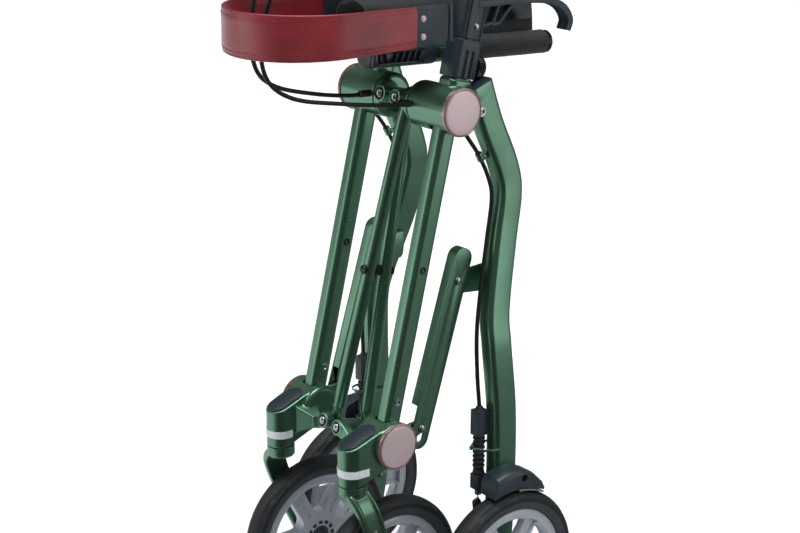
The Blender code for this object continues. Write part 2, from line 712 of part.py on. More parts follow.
def handle_side(side, tag):
    def collar(bm):
        swept(bm, [post_point(COLLAR[0]), post_point(COLLAR[1])], rounded(0.0140, 0.0172, 0.0060))

    def post_bore(bm):
        rod(bm, post_point(0.6890), post_point(0.9000), POST_R + 0.0006, 16)

    def bracket(bm):
        swept(bm, [post_point(BRACKET[0]), post_point(BRACKET[1])], rounded(0.0135, 0.0160, 0.0055))

    def hook(bm):
        path = smooth_path((
            (0.0740, 0.0330, 0.7560), (0.0760, 0.0800, 0.7560), (0.0780, 0.1280, 0.7530),
            (0.0780, 0.1560, 0.7440), (0.0780, 0.1690, 0.7280), (0.0780, 0.1660, 0.7150),
        ), 3)
        swept(bm, path, rounded(0.0085, 0.0038, 0.0030, 2))

    def strut(start, end):
        def build(bm):
            swept(bm, [Vector(start), Vector(end)], rounded(0.0060, 0.0022, 0.0015, 1))
        return build

    lower_strut = strut((0.0740, 0.0300, 0.7300), (0.0760, 0.0560, 0.7340))
    upper_strut = strut((0.0760, 0.0545, 0.7310), (0.0762, 0.0640, 0.7560))

    ob = piece("post_collar_" + tag, "black", collar, side, POST_BASE)
    combine(ob, "_bore", "DIFFERENCE", post_bore)
    ob = piece("post_bracket_" + tag, "black", bracket, side, POST_BASE)
    combine(ob, "_hook", "UNION", hook)
    combine(ob, "_struts", "UNION", lower_strut, upper_strut)
    combine(ob, "_bore", "DIFFERENCE", post_bore)

    knob_axis = Vector((0.0, POST_DIR.z, -POST_DIR.y))
    knob_rise = knob_axis.cross(X_AXIS)
    knob_centre = post_point(0.6900) + knob_axis * 0.0172

    def knob(bm):
        rings = []
        for along, radius in (
            (0.0010, 0.0085), (0.0018, KNOB_R), (0.0113, KNOB_R), (0.0128, KNOB_R - 0.0023),
        ):
            ring = []
            for i in range(20):
                grip = radius - (0.0007 if i % 2 and radius > 0.012 else 0.0)
                turn = 2.0 * math.pi * i / 20
                around = X_AXIS * math.cos(turn) + knob_rise * math.sin(turn)
                ring.append(knob_centre + knob_axis * along + around * grip)
            rings.append(ring)
        loft(bm, rings)

    piece("height_knob_" + tag, "black", knob, side, knob_centre)

    lever_pivot = Vector((POST_X, 0.0860, 0.8870))

    def post(bm):
        path = [post_point(0.7000), post_point(0.8650)]
        path = path[:1] + smooth_path((
            post_point(0.8650), post_point(0.8850), (POST_X, 0.0740, GRIP_Z - 0.0080),
            (POST_X, 0.0860, GRIP_Z), (POST_X, 0.1012, GRIP_Z),
        ), 3)
        outline = [(POST_R * math.cos(math.pi * i / 8.0), POST_R * math.sin(math.pi * i / 8.0))
                   for i in range(16)]
        swept(bm, path, outline)

    def lever_lug(bm):
        block(bm, (POST_X - 0.0030, 0.0800, 0.8820), (POST_X + 0.0030, 0.0920, 0.9080))

    def lug_hole(bm):
        rod(bm, lever_pivot - X_AXIS * 0.01, lever_pivot + X_AXIS * 0.01, 0.0026, 8)

    ob = piece("handle_post_" + tag, "green", post, side, POST_BASE)
    combine(ob, "_lug", "UNION", lever_lug)
    combine(ob, "_hole", "DIFFERENCE", lug_hole)

    def grip(bm):
        profile = []
        for i in range(9):
            share = i / 8.0
            wave = 0.0135 + 0.0022 * math.sin(math.pi * share) + 0.0012 * math.cos(4 * math.pi * share)
            profile.append((0.1023 + 0.1130 * share, wave))
        profile = [(0.1023, 0.0105)] + profile + [(0.2163, 0.0100)]
        capped(bm, profile, (POST_X, 0.0, GRIP_Z), 14, (0.0, 1.0, 0.0))

    piece("grip_" + tag, "rubber", grip, side, (POST_X, 0.1023, GRIP_Z))

    def lever(bm):
        path = smooth_path((
            (POST_X, 0.0940, 0.8840), (POST_X, 0.1150, 0.8760),
            (POST_X, 0.1550, 0.8740), (POST_X, 0.1950, 0.8800),
        ), 2)
        swept(bm, path, rounded(0.0070, 0.0030, 0.0022, 2))

    def cheeks(bm):
        for x in (-0.0068, 0.0036):
            block(bm, (POST_X + x, 0.0810, 0.8815), (POST_X + x + 0.0032, 0.0970, 0.8905))

    def lever_pin(bm):
        rod(bm, lever_pivot - X_AXIS * 0.0050, lever_pivot + X_AXIS * 0.0050, 0.0021, 8)

    ob = piece("brake_lever_" + tag, "black", lever, side, lever_pivot)
    combine(ob, "_cheeks", "UNION", cheeks)
    combine(ob, "_pin", "UNION", lever_pin)

    run = (RAIL_BACK - RAIL_FRONT).length

    def rail(bm):
        capped(bm, [
            (0.0, RAIL_R - 0.0015), (0.0015, RAIL_R), (run - 0.0015, RAIL_R), (run, RAIL_R - 0.0015),
        ], RAIL_FRONT, 20, (RAIL_BACK - RAIL_FRONT).normalized())

    def rail_arm(bm):
        block(bm, (RAIL_X, 0.0060, 0.6957), (POST_X - 0.0140 - GAP, 0.0200, 0.7077))

    ob = piece("seat_rail_" + tag, "green", rail, side, RAIL_FRONT)
    combine(ob, "_arm", "UNION", rail_arm)

    def plate(bm):
        extruded(bm, [(-0.0100, 0.7205), (-0.0100, 0.7610), (-0.0560, 0.7620), (-0.0560, 0.7185)],
                 0.0785, 0.0810)

    def plate_foot(bm):
        block(bm, (0.0700, -0.0110, 0.7260), (0.0810, -0.0075, 0.7560))

    ob = piece("strap_plate_" + tag, "black", plate, side, (0.0800, -0.0100, 0.7400))
    combine(ob, "_foot", "UNION", plate_foot)


# --------------------------------------------------------------------- braces
def brace(name, foot_name, side, depth):
    """A tube hinged at one upper lug, with a foot sliding in its lower end."""
    top = Vector((HINGE_X * side, HINGE_TOP.y, HINGE_TOP.z)) + BRACE_AXIS * depth
    low = Vector((-HINGE_X * side, HINGE_LOW.y, HINGE_LOW.z)) + BRACE_AXIS * depth
    along = (low - top).normalized()
    length = (low - top).length

    def tube(bm):
        rod(bm, top + along * 0.0070, top + along * (length - 0.0160), BRACE_R, 14)

    def head(bm):
        rod(bm, top - BRACE_AXIS * 0.0066, top + BRACE_AXIS * 0.0066, 0.0085, 16)

    def bore(bm):
        rod(bm, top + along * (length - 0.1100), top + along * length, 0.0056, 16)

    def pin_hole(bm):
        rod(bm, top - BRACE_AXIS * 0.0200, top + BRACE_AXIS * 0.0200, 0.0034, 14)

    ob = piece(name, "green", tube, 1, top)
    combine(ob, "_head", "UNION", head)
    combine(ob, "_bore", "DIFFERENCE", bore)
    combine(ob, "_pinhole", "DIFFERENCE", pin_hole)

    crossing = top + along * (length * PIVOT_DOWN / (HINGE_LOW - HINGE_TOP).length)
    if side > 0:
        def boss(bm):
            rod(bm, crossing - BRACE_AXIS * 0.0085, crossing - BRACE_AXIS * 0.0050, 0.0062, 14)
            rod(bm, crossing + BRACE_AXIS * 0.0050, crossing + BRACE_AXIS * 0.0148, 0.0055, 14)
    else:
        def boss(bm):
            rod(bm, crossing + BRACE_AXIS * 0.0050, crossing + BRACE_AXIS * 0.0088, 0.0062, 14)
    combine(ob, "_boss", "UNION", boss)

    def foot(bm):
        rod(bm, top + along * (length - 0.0900), low - along * 0.0060, 0.0052, 14)

    def foot_eye(bm):
        rings = []
        for lift in (-0.0046, 0.0058):
            rings.append([
                low + BRACE_AXIS * lift + X_AXIS * a + along * b
                for a, b in rounded(0.0085, 0.0125, 0.0080)
            ])
        loft(bm, rings)

    def foot_slot(bm):
        rings = []
        for lift in (-0.02, 0.02):
            rings.append([
                low + BRACE_AXIS * lift + X_AXIS * a + along * b
                for a, b in rounded(0.0046, 0.0078, 0.0045)
            ])
        loft(bm, rings)

    ob = piece(foot_name, "green", foot, 1, low)
    combine(ob, "_eye", "UNION", foot_eye)
    combine(ob, "_slot", "DIFFERENCE", foot_slot)


# ---------------------------------------------------------------- soft pieces
STRAP_X = 0.0832
STRAP_BEND_Y = -0.1430


def strap_line():
    """Plan of the backrest strap from its left end to its right end."""
    points = []
    for i in range(7):
        y = -0.0300 + (STRAP_BEND_Y + 0.0300) * i / 6.0
        points.append((STRAP_X, y))
    for i in range(1, 16):
        turn = math.pi * i / 16.0
        points.append((STRAP_X * math.cos(turn), STRAP_BEND_Y - STRAP_X * math.sin(turn)))
    for i in range(7):
        y = STRAP_BEND_Y - (STRAP_BEND_Y + 0.0300) * i / 6.0
        points.append((-STRAP_X, y))
    return points


def strap(bm):
    plan = strap_line()
    rings = []
    for i, (x, y) in enumerate(plan):
        ahead = Vector(plan[min(i + 1, len(plan) - 1)])
        behind = Vector(plan[max(i - 1, 0)])
        out = (ahead - behind).normalized().orthogonal()
        share = math.sin(math.pi * i / (len(plan) - 1)) ** 0.8
        low = 0.7205 - 0.0030 * share
        high = 0.7600 + 0.0030 * share
        rings.append([
            Vector((x + out.x * t, y + out.y * t, z))
            for t, z in ((-0.0018, low), (0.0018, low), (0.0018, high), (-0.0018, high))
        ])
    loft(bm, rings)


def sling(bm):
    """The folded seat cloth: it stands on both rails and closes over between them."""
    rings = []
    for y, high in ((-0.0800, 0.7560), (-0.0700, 0.7640), (0.1400, 0.7610), (0.1550, 0.7480)):
        share = (y - RAIL_FRONT.y) / (RAIL_BACK.y - RAIL_FRONT.y)
        low = RAIL_FRONT.lerp(RAIL_BACK, share).z + RAIL_R + 0.0006
        middle = (low + high) / 2.0
        outline = rounded(0.0300, (high - low) / 2.0, 0.0100)
        rings.append([Vector((a, y, middle + b)) for a, b in outline])
    loft(bm, rings)


def cable(name, points, radius, count):
    """A housed brake cable along a smooth route."""
    curve = bpy.data.curves.new(name, "CURVE")
    curve.dimensions = "3D"
    curve.bevel_depth = radius
    curve.bevel_resolution = 2
    curve.use_fill_caps = True
    dense = smooth_path(points, 12)
    lengths = [0.0]
    for a, b in zip(dense, dense[1:]):
        lengths.append(lengths[-1] + (b - a).length)
    route = []
    k = 0
    for i in range(count):
        want = lengths[-1] * i / (count - 1)
        while k < len(lengths) - 2 and lengths[k + 1] < want:
            k += 1
        share = (want - lengths[k]) / (lengths[k + 1] - lengths[k])
        route.append(dense[k].lerp(dense[k + 1], min(share, 1.0)))
    spline = curve.splines.new("POLY")
    spline.points.add(count - 1)
    for point, place in zip(spline.points, route):
        point.co = (*place, 1.0)
    colour, metallic, roughness = FINISHES["black"]
    material = bpy.data.materials.new(name + "_finish")
    material.use_nodes = True
    shader = material.node_tree.nodes["Principled BSDF"]
    shader.inputs["Base Color"].default_value = (*colour, 1.0)
    shader.inputs["Metallic"].default_value = metallic
    shader.inputs["Roughness"].default_value = roughness
    curve.materials.append(material)
    ob = bpy.data.objects.new(name, curve)
    bpy.context.scene.collection.objects.link(ob)


CABLE_R = 0.0024
for side, tag in ((1, "l"), (-1, "r")):
    upper_side(side, tag)
    rear_side(side, tag)
    lower_side(side, tag)
    link_side(side, tag)
    handle_side(side, tag)
    droop = 0.0 if side > 0 else 0.0080
    cable("upper_cable_" + tag, [mirrored(p, side) for p in (
        (POST_X - 0.016, 0.0780, 0.8840), (0.0440, 0.0100, 0.8880), (0.0300, -0.1000, 0.8560),
        (0.0160, -0.1800, 0.7950), (0.0100, -0.2010, 0.7350 + droop),
        (0.0100, -0.1970, 0.6920 + droop), (0.0160, -0.1680, 0.6680 + droop),
        (0.0240, -0.1100, 0.6560 + 0.4 * droop), (0.0340, -0.0560, 0.6490), (0.0370, -0.0268, 0.6475),
    )], CABLE_R, 44)
    cable("lower_cable_" + tag, [mirrored(p, side) for p in (
        (0.0830, 0.0170, 0.6130), (0.0830, 0.0350, 0.5890), (0.0835, 0.0500, 0.5600),
        (0.0845, 0.0545, 0.5350), (0.0880, 0.0450, 0.4900), (0.0975, 0.0290, 0.4400),
        (0.1040, 0.0180, 0.3900), (0.1080, 0.0160, 0.3400), (0.1100, 0.0185, 0.2975),
    )], CABLE_R, 26)

brace("brace_a", "brace_foot_a", 1, BRACE_A_DEPTH)
brace("brace_b", "brace_foot_b", -1, BRACE_B_DEPTH)
piece("backrest_strap", "leather", strap, 1, (0.0, -0.1430, 0.7400))
piece("seat_sling", "fabric", sling, 1, (0.0, 0.0350, 0.7400))

for ob in bpy.context.scene.objects:
    ob.location.y += CENTRE_Y
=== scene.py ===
"""Looks of the folded rollator walker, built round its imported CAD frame.

Frame: +X is the user's left, -Y is forward, +Z is up.  Outlines are written
with Y counted from the axis of the upper hubs, and every mesh is moved to the
frame's own Y at the end.  Each side is built by one function, with side = +1
on the left and -1 on the right.
"""
import json
import math
import random

import bmesh
import bpy
from mathutils import Matrix, Vector, noise


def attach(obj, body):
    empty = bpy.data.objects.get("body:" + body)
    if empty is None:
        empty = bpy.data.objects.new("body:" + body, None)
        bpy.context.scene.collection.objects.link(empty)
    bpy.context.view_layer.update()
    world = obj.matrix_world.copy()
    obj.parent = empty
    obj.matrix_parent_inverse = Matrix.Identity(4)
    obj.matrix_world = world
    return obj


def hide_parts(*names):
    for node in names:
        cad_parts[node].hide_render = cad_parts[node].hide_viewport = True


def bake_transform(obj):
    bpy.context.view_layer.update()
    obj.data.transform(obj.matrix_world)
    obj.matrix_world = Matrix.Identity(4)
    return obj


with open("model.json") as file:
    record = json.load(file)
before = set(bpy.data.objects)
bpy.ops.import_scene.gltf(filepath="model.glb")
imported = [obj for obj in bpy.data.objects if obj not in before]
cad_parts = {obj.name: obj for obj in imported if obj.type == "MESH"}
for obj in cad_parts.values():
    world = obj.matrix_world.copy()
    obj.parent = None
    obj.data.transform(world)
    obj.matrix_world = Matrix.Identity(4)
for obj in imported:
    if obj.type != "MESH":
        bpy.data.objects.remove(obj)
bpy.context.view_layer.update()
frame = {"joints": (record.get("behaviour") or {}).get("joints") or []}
random.seed(4)

# ------------------------------------------------------------------- places
PLACES = {j["name"]: Vector(j["pos_m"]) for j in frame["joints"] if "pos_m" in j}
SHIFT = Vector((0.0, PLACES["leg_swing_l"].y, 0.0))
SIDES = ((1, "l"), (-1, "r"))

UPPER = PLACES["leg_swing_l"] - SHIFT
LOWER = PLACES["caster_level_l"] - SHIFT
CASTER = PLACES["caster_swivel_l"] - SHIFT
FRONT_WHEEL = PLACES["front_wheel_roll_l"] - SHIFT
REAR_WHEEL = PLACES["rear_wheel_roll_l"] - SHIFT
LINK_TOP = PLACES["link_turn_l"] - SHIFT
KNOB = PLACES["knob_turn_l"] - SHIFT
LEVER = PLACES["lever_squeeze_l"] - SHIFT
BRAKE = PLACES["brake_press_l"] - SHIFT
KNOB_AXIS = Vector(next(j["axis"] for j in frame["joints"] if j["name"] == "knob_turn_l"))
BRACE_AXIS = Vector(next(j["axis"] for j in frame["joints"] if j["name"] == "brace_turn_a"))
POST_DIR = Vector(next(j["axis"] for j in frame["joints"] if j["name"] == "handle_slide_l"))
LEG_DIR = -POST_DIR
X_AXIS = Vector((1.0, 0.0, 0.0))
Y_AXIS = Vector((0.0, 1.0, 0.0))
Z_AXIS = Vector((0.0, 0.0, 1.0))

SIDE_X = CASTER.x                # plane of the front leg
POST_X = KNOB.x
HUB_R = 0.0262
BORE_R = 0.0225
HUB_FACE_X = 0.0913
CAP_R = 0.0272
WHEEL_R = REAR_WHEEL.z
TYRE_HALF = 0.0140
RIM_R = 0.0785
LEG_HALF = (0.0100, 0.0115)
REAR_HALF = (0.0110, 0.0165)
HINGE_X = 0.0134
HINGE_TOP = Vector((HINGE_X, -0.0297, 0.6518))
HINGE_LOW = Vector((HINGE_X, -0.1161, 0.2765))
BRACE_R = 0.0075
BRACE_DEPTH = {"a": 0.0200, "b": 0.0427}
LINK_LOW = Vector((LINK_TOP.x, -0.0451, 0.2789))
POST_BASE = Vector((POST_X, 0.0140, 0.6760))
POST_R = 0.0105
GRIP_Z = 0.9140
RAIL_FRONT = Vector((0.0345, -0.0880, 0.7060))
RAIL_BACK = Vector((0.0345, 0.1800, 0.6945))
RAIL_AXIS = (RAIL_BACK - RAIL_FRONT).normalized()
RAIL_RUN = (RAIL_BACK - RAIL_FRONT).length
RAIL_R = 0.0125
STRAP_X = 0.0832
STRAP_BEND_Y = -0.1430
STRAP_END_Y = -0.0555
CABLE_R = 0.0024


def rail_at(y):
    return RAIL_FRONT.lerp(RAIL_BACK, (y - RAIL_FRONT.y) / (RAIL_BACK.y - RAIL_FRONT.y))


def post_point(height):
    return POST_BASE + POST_DIR * ((height - POST_BASE.z) / POST_DIR.z)


# ------------------------------------------------------------------- shapes
def loft(bm, rings, closed=False):
    """Join rings of equal count; close the ends, or join last to first."""
    rows = [[bm.verts.new(p) for p in ring] for ring in rings]
    count = len(rows[0])
    pairs = list(zip(rows, rows[1:]))
    if closed:
        pairs.append((rows[-1], rows[0]))
    for low, high in pairs:
        for i in range(count):
            j = (i + 1) % count
            bm.faces.new((low[i], low[j], high[j], high[i]))
    if not closed:
        bm.faces.new(rows[0])
        bm.faces.new(reversed(rows[-1]))


def across(axis):
    """Two directions square to an axis."""
    axis = Vector(axis).normalized()
    first = axis.cross(X_AXIS)
    if first.length < 0.1:
        first = Vector(Z_AXIS)
    first = first.normalized()
    return first, axis.cross(first)


def circle(centre, axis, radius, count=48):
    first, second = across(axis)
    points = []
    for i in range(count):
        turn = 2.0 * math.pi * i / count
        around = math.cos(turn) * first + math.sin(turn) * second
        points.append(Vector(centre) + radius * around)
    return points


def rod(bm, start, end, radius, count=48, end_radius=None):
    start = Vector(start)
    end = Vector(end)
    last = radius if end_radius is None else end_radius
    loft(bm, [circle(start, end - start, radius, count), circle(end, end - start, last, count)])


def lathe(bm, profile, centre, axis=X_AXIS, count=96, closed=False):
    """Turn (along, radius) points about an axis."""
    axis = Vector(axis).normalized()
    rings = [circle(Vector(centre) + axis * a, axis, r, count) for a, r in profile]
    loft(bm, rings, closed)


def block(bm, low, high):
    low = Vector(low)
    high = Vector(high)
    scale = Matrix.Diagonal((*(high - low), 1.0))
    bmesh.ops.create_cube(bm, size=1.0, matrix=Matrix.Translation((low + high) / 2.0) @ scale)


def rounded(half_a, half_b, radius, steps=6):
    """Corner-rounded rectangle as (a, b) pairs."""
    points = []
    for quarter in range(4):
        sign_a = 1.0 if quarter in (0, 3) else -1.0
        sign_b = 1.0 if quarter in (0, 1) else -1.0
        for i in range(steps + 1):
            turn = math.pi / 2.0 * (quarter + i / steps)
            points.append((
                sign_a * (half_a - radius) + radius * math.cos(turn),
                sign_b * (half_b - radius) + radius * math.sin(turn),
            ))
    return points


def soft_corners(corners, radius, steps=5):
    """Round every corner of a polygon of (a, b) pairs."""
    outline = []
    for i, corner in enumerate(corners):
        here = Vector(corner)
        before = Vector(corners[i - 1]) - here
        after = Vector(corners[(i + 1) % len(corners)]) - here
        reach = min(radius, before.length * 0.45, after.length * 0.45)
        start = here + before.normalized() * reach
        end = here + after.normalized() * reach
        for k in range(steps + 1):
            t = k / steps
            point = start * (1 - t) ** 2 + here * 2 * t * (1 - t) + end * t ** 2
            outline.append((point.x, point.y))
    return outline


def smooth_path(points, steps=8):
    """Catmull-Rom curve through the points."""
    points = [Vector(p) for p in points]
    ends = [2 * points[0] - points[1]] + points + [2 * points[-1] - points[-2]]
    path = []
    for i in range(1, len(ends) - 2):
        before, start, end, after = ends[i - 1:i + 3]
        for k in range(steps):
            t = k / steps
            path.append(0.5 * (
                2 * start + (end - before) * t
                + (2 * before - 5 * start + 4 * end - after) * t ** 2
                + (3 * start - before - 3 * end + after) * t ** 3
            ))
    path.append(points[-1])
    return path


def swept(bm, path, outline):
    """Sweep an outline, or a function of the share run, keeping it upright to X."""
    rings = []
    for i, point in enumerate(path):
        ahead = path[min(i + 1, len(path) - 1)]
        behind = path[max(i - 1, 0)]
        along = (ahead - behind).normalized()
        side = (X_AXIS - along * along.x).normalized()
        depth = along.cross(side)
        shape = outline(i / (len(path) - 1)) if callable(outline) else outline
        rings.append([point + side * a + depth * b for a, b in shape])
    loft(bm, rings)


def tube(bm, path, radius, count=16):
    """A round tube along any path, with no twist."""
    along = (path[1] - path[0]).normalized()
    side = across(along)[0]
    rings = []
    for i, point in enumerate(path):
        ahead = path[min(i + 1, len(path) - 1)]
        behind = path[max(i - 1, 0)]
        along = (ahead - behind).normalized()
        side = (side - along * side.dot(along)).normalized()
        other = along.cross(side)
        rings.append([
            point + radius * (math.cos(t) * side + math.sin(t) * other)
            for t in (2.0 * math.pi * k / count for k in range(count))
        ])
    loft(bm, rings)


def extruded(bm, outline, x_from, x_to):
    """Extrude a (y, z) outline along X."""
    loft(bm, [[Vector((x, y, z)) for y, z in outline] for x in (x_from, x_to)])


def slab(bm, outline, centre, normal, up, thickness):
    """Extrude an outline of (across, up) pairs, half each way from its centre."""
    normal = Vector(normal).normalized()
    up = Vector(up).normalized()
    side = up.cross(normal)
    loft(bm, [
        [Vector(centre) + side * a + up * b + normal * t for a, b in outline]
        for t in (-thickness / 2.0, thickness / 2.0)
    ])


def hull(bm, points):
    verts = [bm.verts.new(p) for p in points]
    found = bmesh.ops.convex_hull(bm, input=verts)
    spare = set(found["geom_interior"]) | set(found["geom_unused"])
    spare = [v for v in spare if isinstance(v, bmesh.types.BMVert)]
    bmesh.ops.delete(bm, geom=spare, context="VERTS")


def hexed(centre, axis, radius, count):
    """Points of a hexagon, as many as the circles round it."""
    first, second = across(axis)
    points = []
    for i in range(count):
        turn = 2.0 * math.pi * i / count
        flat = math.cos(math.pi / 6) / math.cos((turn % (math.pi / 3)) - math.pi / 6)
        around = math.cos(turn) * first + math.sin(turn) * second
        points.append(Vector(centre) + around * radius * flat)
    return points


def socket_head(bm, centre, axis, radius, height, key=0.5, count=48):
    """Screw head with a hexagon socket, standing on its centre."""
    axis = Vector(axis).normalized()
    centre = Vector(centre)
    chamfer = radius * 0.12
    rings = [circle(centre + axis * a, axis, r, count) for a, r in (
        (0.0, radius), (height - chamfer, radius), (height, radius - chamfer),
        (height, radius * (key + 0.08)),
    )]
    rings.append(hexed(centre + axis * (height - 0.0002), axis, radius * key, count))
    rings.append(hexed(centre + axis * height * 0.35, axis, radius * key, count))
    loft(bm, rings)


def hex_head(bm, centre, axis, radius, height, count=48):
    """Hexagon nut or bolt head with a domed top."""
    axis = Vector(axis).normalized()
    centre = Vector(centre)
    rings = [hexed(centre, axis, radius, count), hexed(centre + axis * height * 0.8, axis, radius, count)]
    rings.append(circle(centre + axis * height, axis, radius * 0.78, count))
    rings.append(circle(centre + axis * height * 1.12, axis, radius * 0.45, count))
    loft(bm, rings)


def dome(bm, centre, axis, radius, height, count=40):
    """Domed rivet head."""
    axis = Vector(axis).normalized()
    rings = [circle(Vector(centre) - axis * 0.0006, axis, radius, count)]
    for i in range(8):
        turn = math.pi / 2.0 * i / 8.0
        rings.append(circle(
            Vector(centre) + axis * height * math.sin(turn), axis, radius * math.cos(turn), count))
    loft(bm, rings)


# ---------------------------------------------------------------- materials
def linear(red, green, blue):
    """Scene-linear colour from an eight-bit display colour."""
    values = []
    for level in (red, green, blue):
        c = level / 255.0
        values.append(c / 12.92 if c <= 0.04045 else ((c + 0.055) / 1.055) ** 2.4)
    return (*values, 1.0)


class Finish:
    """A node material: a base shader, mottled colour, worn gloss and bumps."""

    def __init__(self, name, colour, metallic=0.0, roughness=0.5):
        self.material = bpy.data.materials.new(name)
        self.material.use_nodes = True
        self.tree = self.material.node_tree
        self.shader = self.tree.nodes["Principled BSDF"]
        self.place = self.tree.nodes.new("ShaderNodeTexCoord").outputs["Object"]
        self.normal = None
        self.colour = colour
        self.roughness = roughness
        self.shader.inputs["Base Color"].default_value = colour
        self.shader.inputs["Metallic"].default_value = metallic
        self.shader.inputs["Roughness"].default_value = roughness

    def set(self, **values):
        for key, value in values.items():
            self.shader.inputs[key.replace("_", " ").title()].default_value = value
        return self

    def node(self, kind, links=None, **values):
        made = self.tree.nodes.new(kind)
        for key, value in values.items():
            if hasattr(made, key):
                setattr(made, key, value)
            else:
                made.inputs[key.replace("_", " ").title()].default_value = value
        for key, source in (links or {}).items():
            self.tree.links.new(source, made.inputs[key])
        return made

    def grain(self, scale, detail=3.0, stretch=(1.0, 1.0, 1.0)):
        place = self.node("ShaderNodeMapping", {"Vector": self.place})
        place.inputs["Scale"].default_value = stretch
        return self.node(
            "ShaderNodeTexNoise", {"Vector": place.outputs[0]}, scale=scale, detail=detail
        ).outputs["Fac"]

    def ramp(self, source, low, high, first=0.3, last=0.7):
        made = self.node("ShaderNodeValToRGB", {"Fac": source})
        made.color_ramp.elements[0].position = first
        made.color_ramp.elements[1].position = last
        made.color_ramp.elements[0].color = low
        made.color_ramp.elements[1].color = high
        return made.outputs["Color"]

    def mottle(self, source, spread):
        """Vary the base colour by a share either way."""
        low = [c * (1.0 - spread) for c in self.colour[:3]] + [1.0]
        high = [min(c * (1.0 + spread), 1.0) for c in self.colour[:3]] + [1.0]
        self.tree.links.new(self.ramp(source, low, high), self.shader.inputs["Base Color"])
        return self

    def wear(self, source, spread):
        """Vary the roughness about its own value."""
        made = self.node("ShaderNodeMapRange", {"Value": source})
        made.inputs["From Min"].default_value = 0.3
        made.inputs["From Max"].default_value = 0.7
        made.inputs["To Min"].default_value = max(self.roughness - spread, 0.05)
        made.inputs["To Max"].default_value = self.roughness + spread
        self.tree.links.new(made.outputs[0], self.shader.inputs["Roughness"])
        return self

    def bump(self, source, strength, distance):
        made = self.node("ShaderNodeBump", {"Height": source})
        made.inputs["Strength"].default_value = strength
        made.inputs["Distance"].default_value = distance
        if self.normal:
            self.tree.links.new(self.normal, made.inputs["Normal"])
        self.normal = made.outputs[0]
        self.tree.links.new(self.normal, self.shader.inputs["Normal"])
        return self


def painted(name, colour, metallic, roughness, flake=0.10):
    made = Finish(name, colour, metallic, roughness)
    made.mottle(made.grain(2600.0, 1.0), flake)
    made.wear(made.grain(38.0, 4.0), 0.035)
    made.bump(made.grain(420.0, 2.0), 0.10, 0.0004)
    made.set(coat_weight=0.25, coat_roughness=0.12)
    return made


def moulded(name, colour, roughness, grain_scale=900.0, depth=0.0003):
    made = Finish(name, colour, 0.0, roughness)
    made.mottle(made.grain(60.0, 3.0), 0.12)
    made.wear(made.grain(25.0, 4.0), 0.06)
    made.bump(made.grain(grain_scale, 3.0), 0.35, depth)
    return made


def brushed(name, colour, metallic, roughness, stretch=(1.0, 1.0, 1.0), scale=500.0):
    made = Finish(name, colour, metallic, roughness)
    made.mottle(made.grain(scale, 2.0, stretch), 0.06)
    made.wear(made.grain(scale, 2.0, stretch), 0.05)
    made.bump(made.grain(scale, 2.0, stretch), 0.08, 0.0002)
    return made


def leather(name, colour):
    made = Finish(name, colour, 0.0, 0.42)
    made.mottle(made.grain(22.0, 4.0), 0.28)
    made.wear(made.grain(30.0, 4.0), 0.08)
    cells = made.node("ShaderNodeTexVoronoi", {"Vector": made.place}, scale=620.0)
    made.bump(cells.outputs["Distance"], 0.35, 0.0005)
    made.bump(made.grain(140.0, 3.0), 0.25, 0.0008)
    made.set(sheen_weight=0.45, sheen_roughness=0.3, coat_weight=0.5, coat_roughness=0.3)
    made.shader.inputs["Sheen Tint"].default_value = (1.0, 0.55, 0.70, 1.0)
    return made


def woven(name, colour, scale):
    made = Finish(name, colour, 0.0, 0.78)
    waves = []
    for direction in ("X", "Z", "Y"):
        waves.append(made.node(
            "ShaderNodeTexWave", {"Vector": made.place}, scale=scale, bands_direction=direction
        ).outputs["Fac"])
    pair = made.node("ShaderNodeMath", {0: waves[0], 1: waves[1]}, operation="MULTIPLY")
    net = made.node("ShaderNodeMath", {0: pair.outputs[0], 1: waves[2]}, operation="ADD")
    made.mottle(net.outputs[0], 0.55)
    made.bump(net.outputs[0], 0.55, 0.0006)
    made.set(sheen_weight=0.25, sheen_roughness=0.4)
    return made


def taped(name, colour):
    """Retroreflective tape: pale cells in a fine net."""
    made = Finish(name, colour, 0.15, 0.30)
    cells = made.node(
        "ShaderNodeTexVoronoi", {"Vector": made.place}, feature="DISTANCE_TO_EDGE", scale=700.0)
    dark = [c * 0.62 for c in colour[:3]] + [1.0]
    made.tree.links.new(
        made.ramp(cells.outputs["Distance"], dark, colour, 0.02, 0.14),
        made.shader.inputs["Base Color"])
    made.bump(cells.outputs["Distance"], 0.2, 0.0002)
    made.set(coat_weight=0.5, coat_roughness=0.1)
    return made


def housed(name, colour):
    """Cable housing: smooth sleeve with the wound wire just showing."""
    made = Finish(name, colour, 0.0, 0.36)
    made.mottle(made.grain(50.0, 3.0), 0.15)
    made.bump(made.grain(1200.0, 2.0), 0.25, 0.0002)
    return made


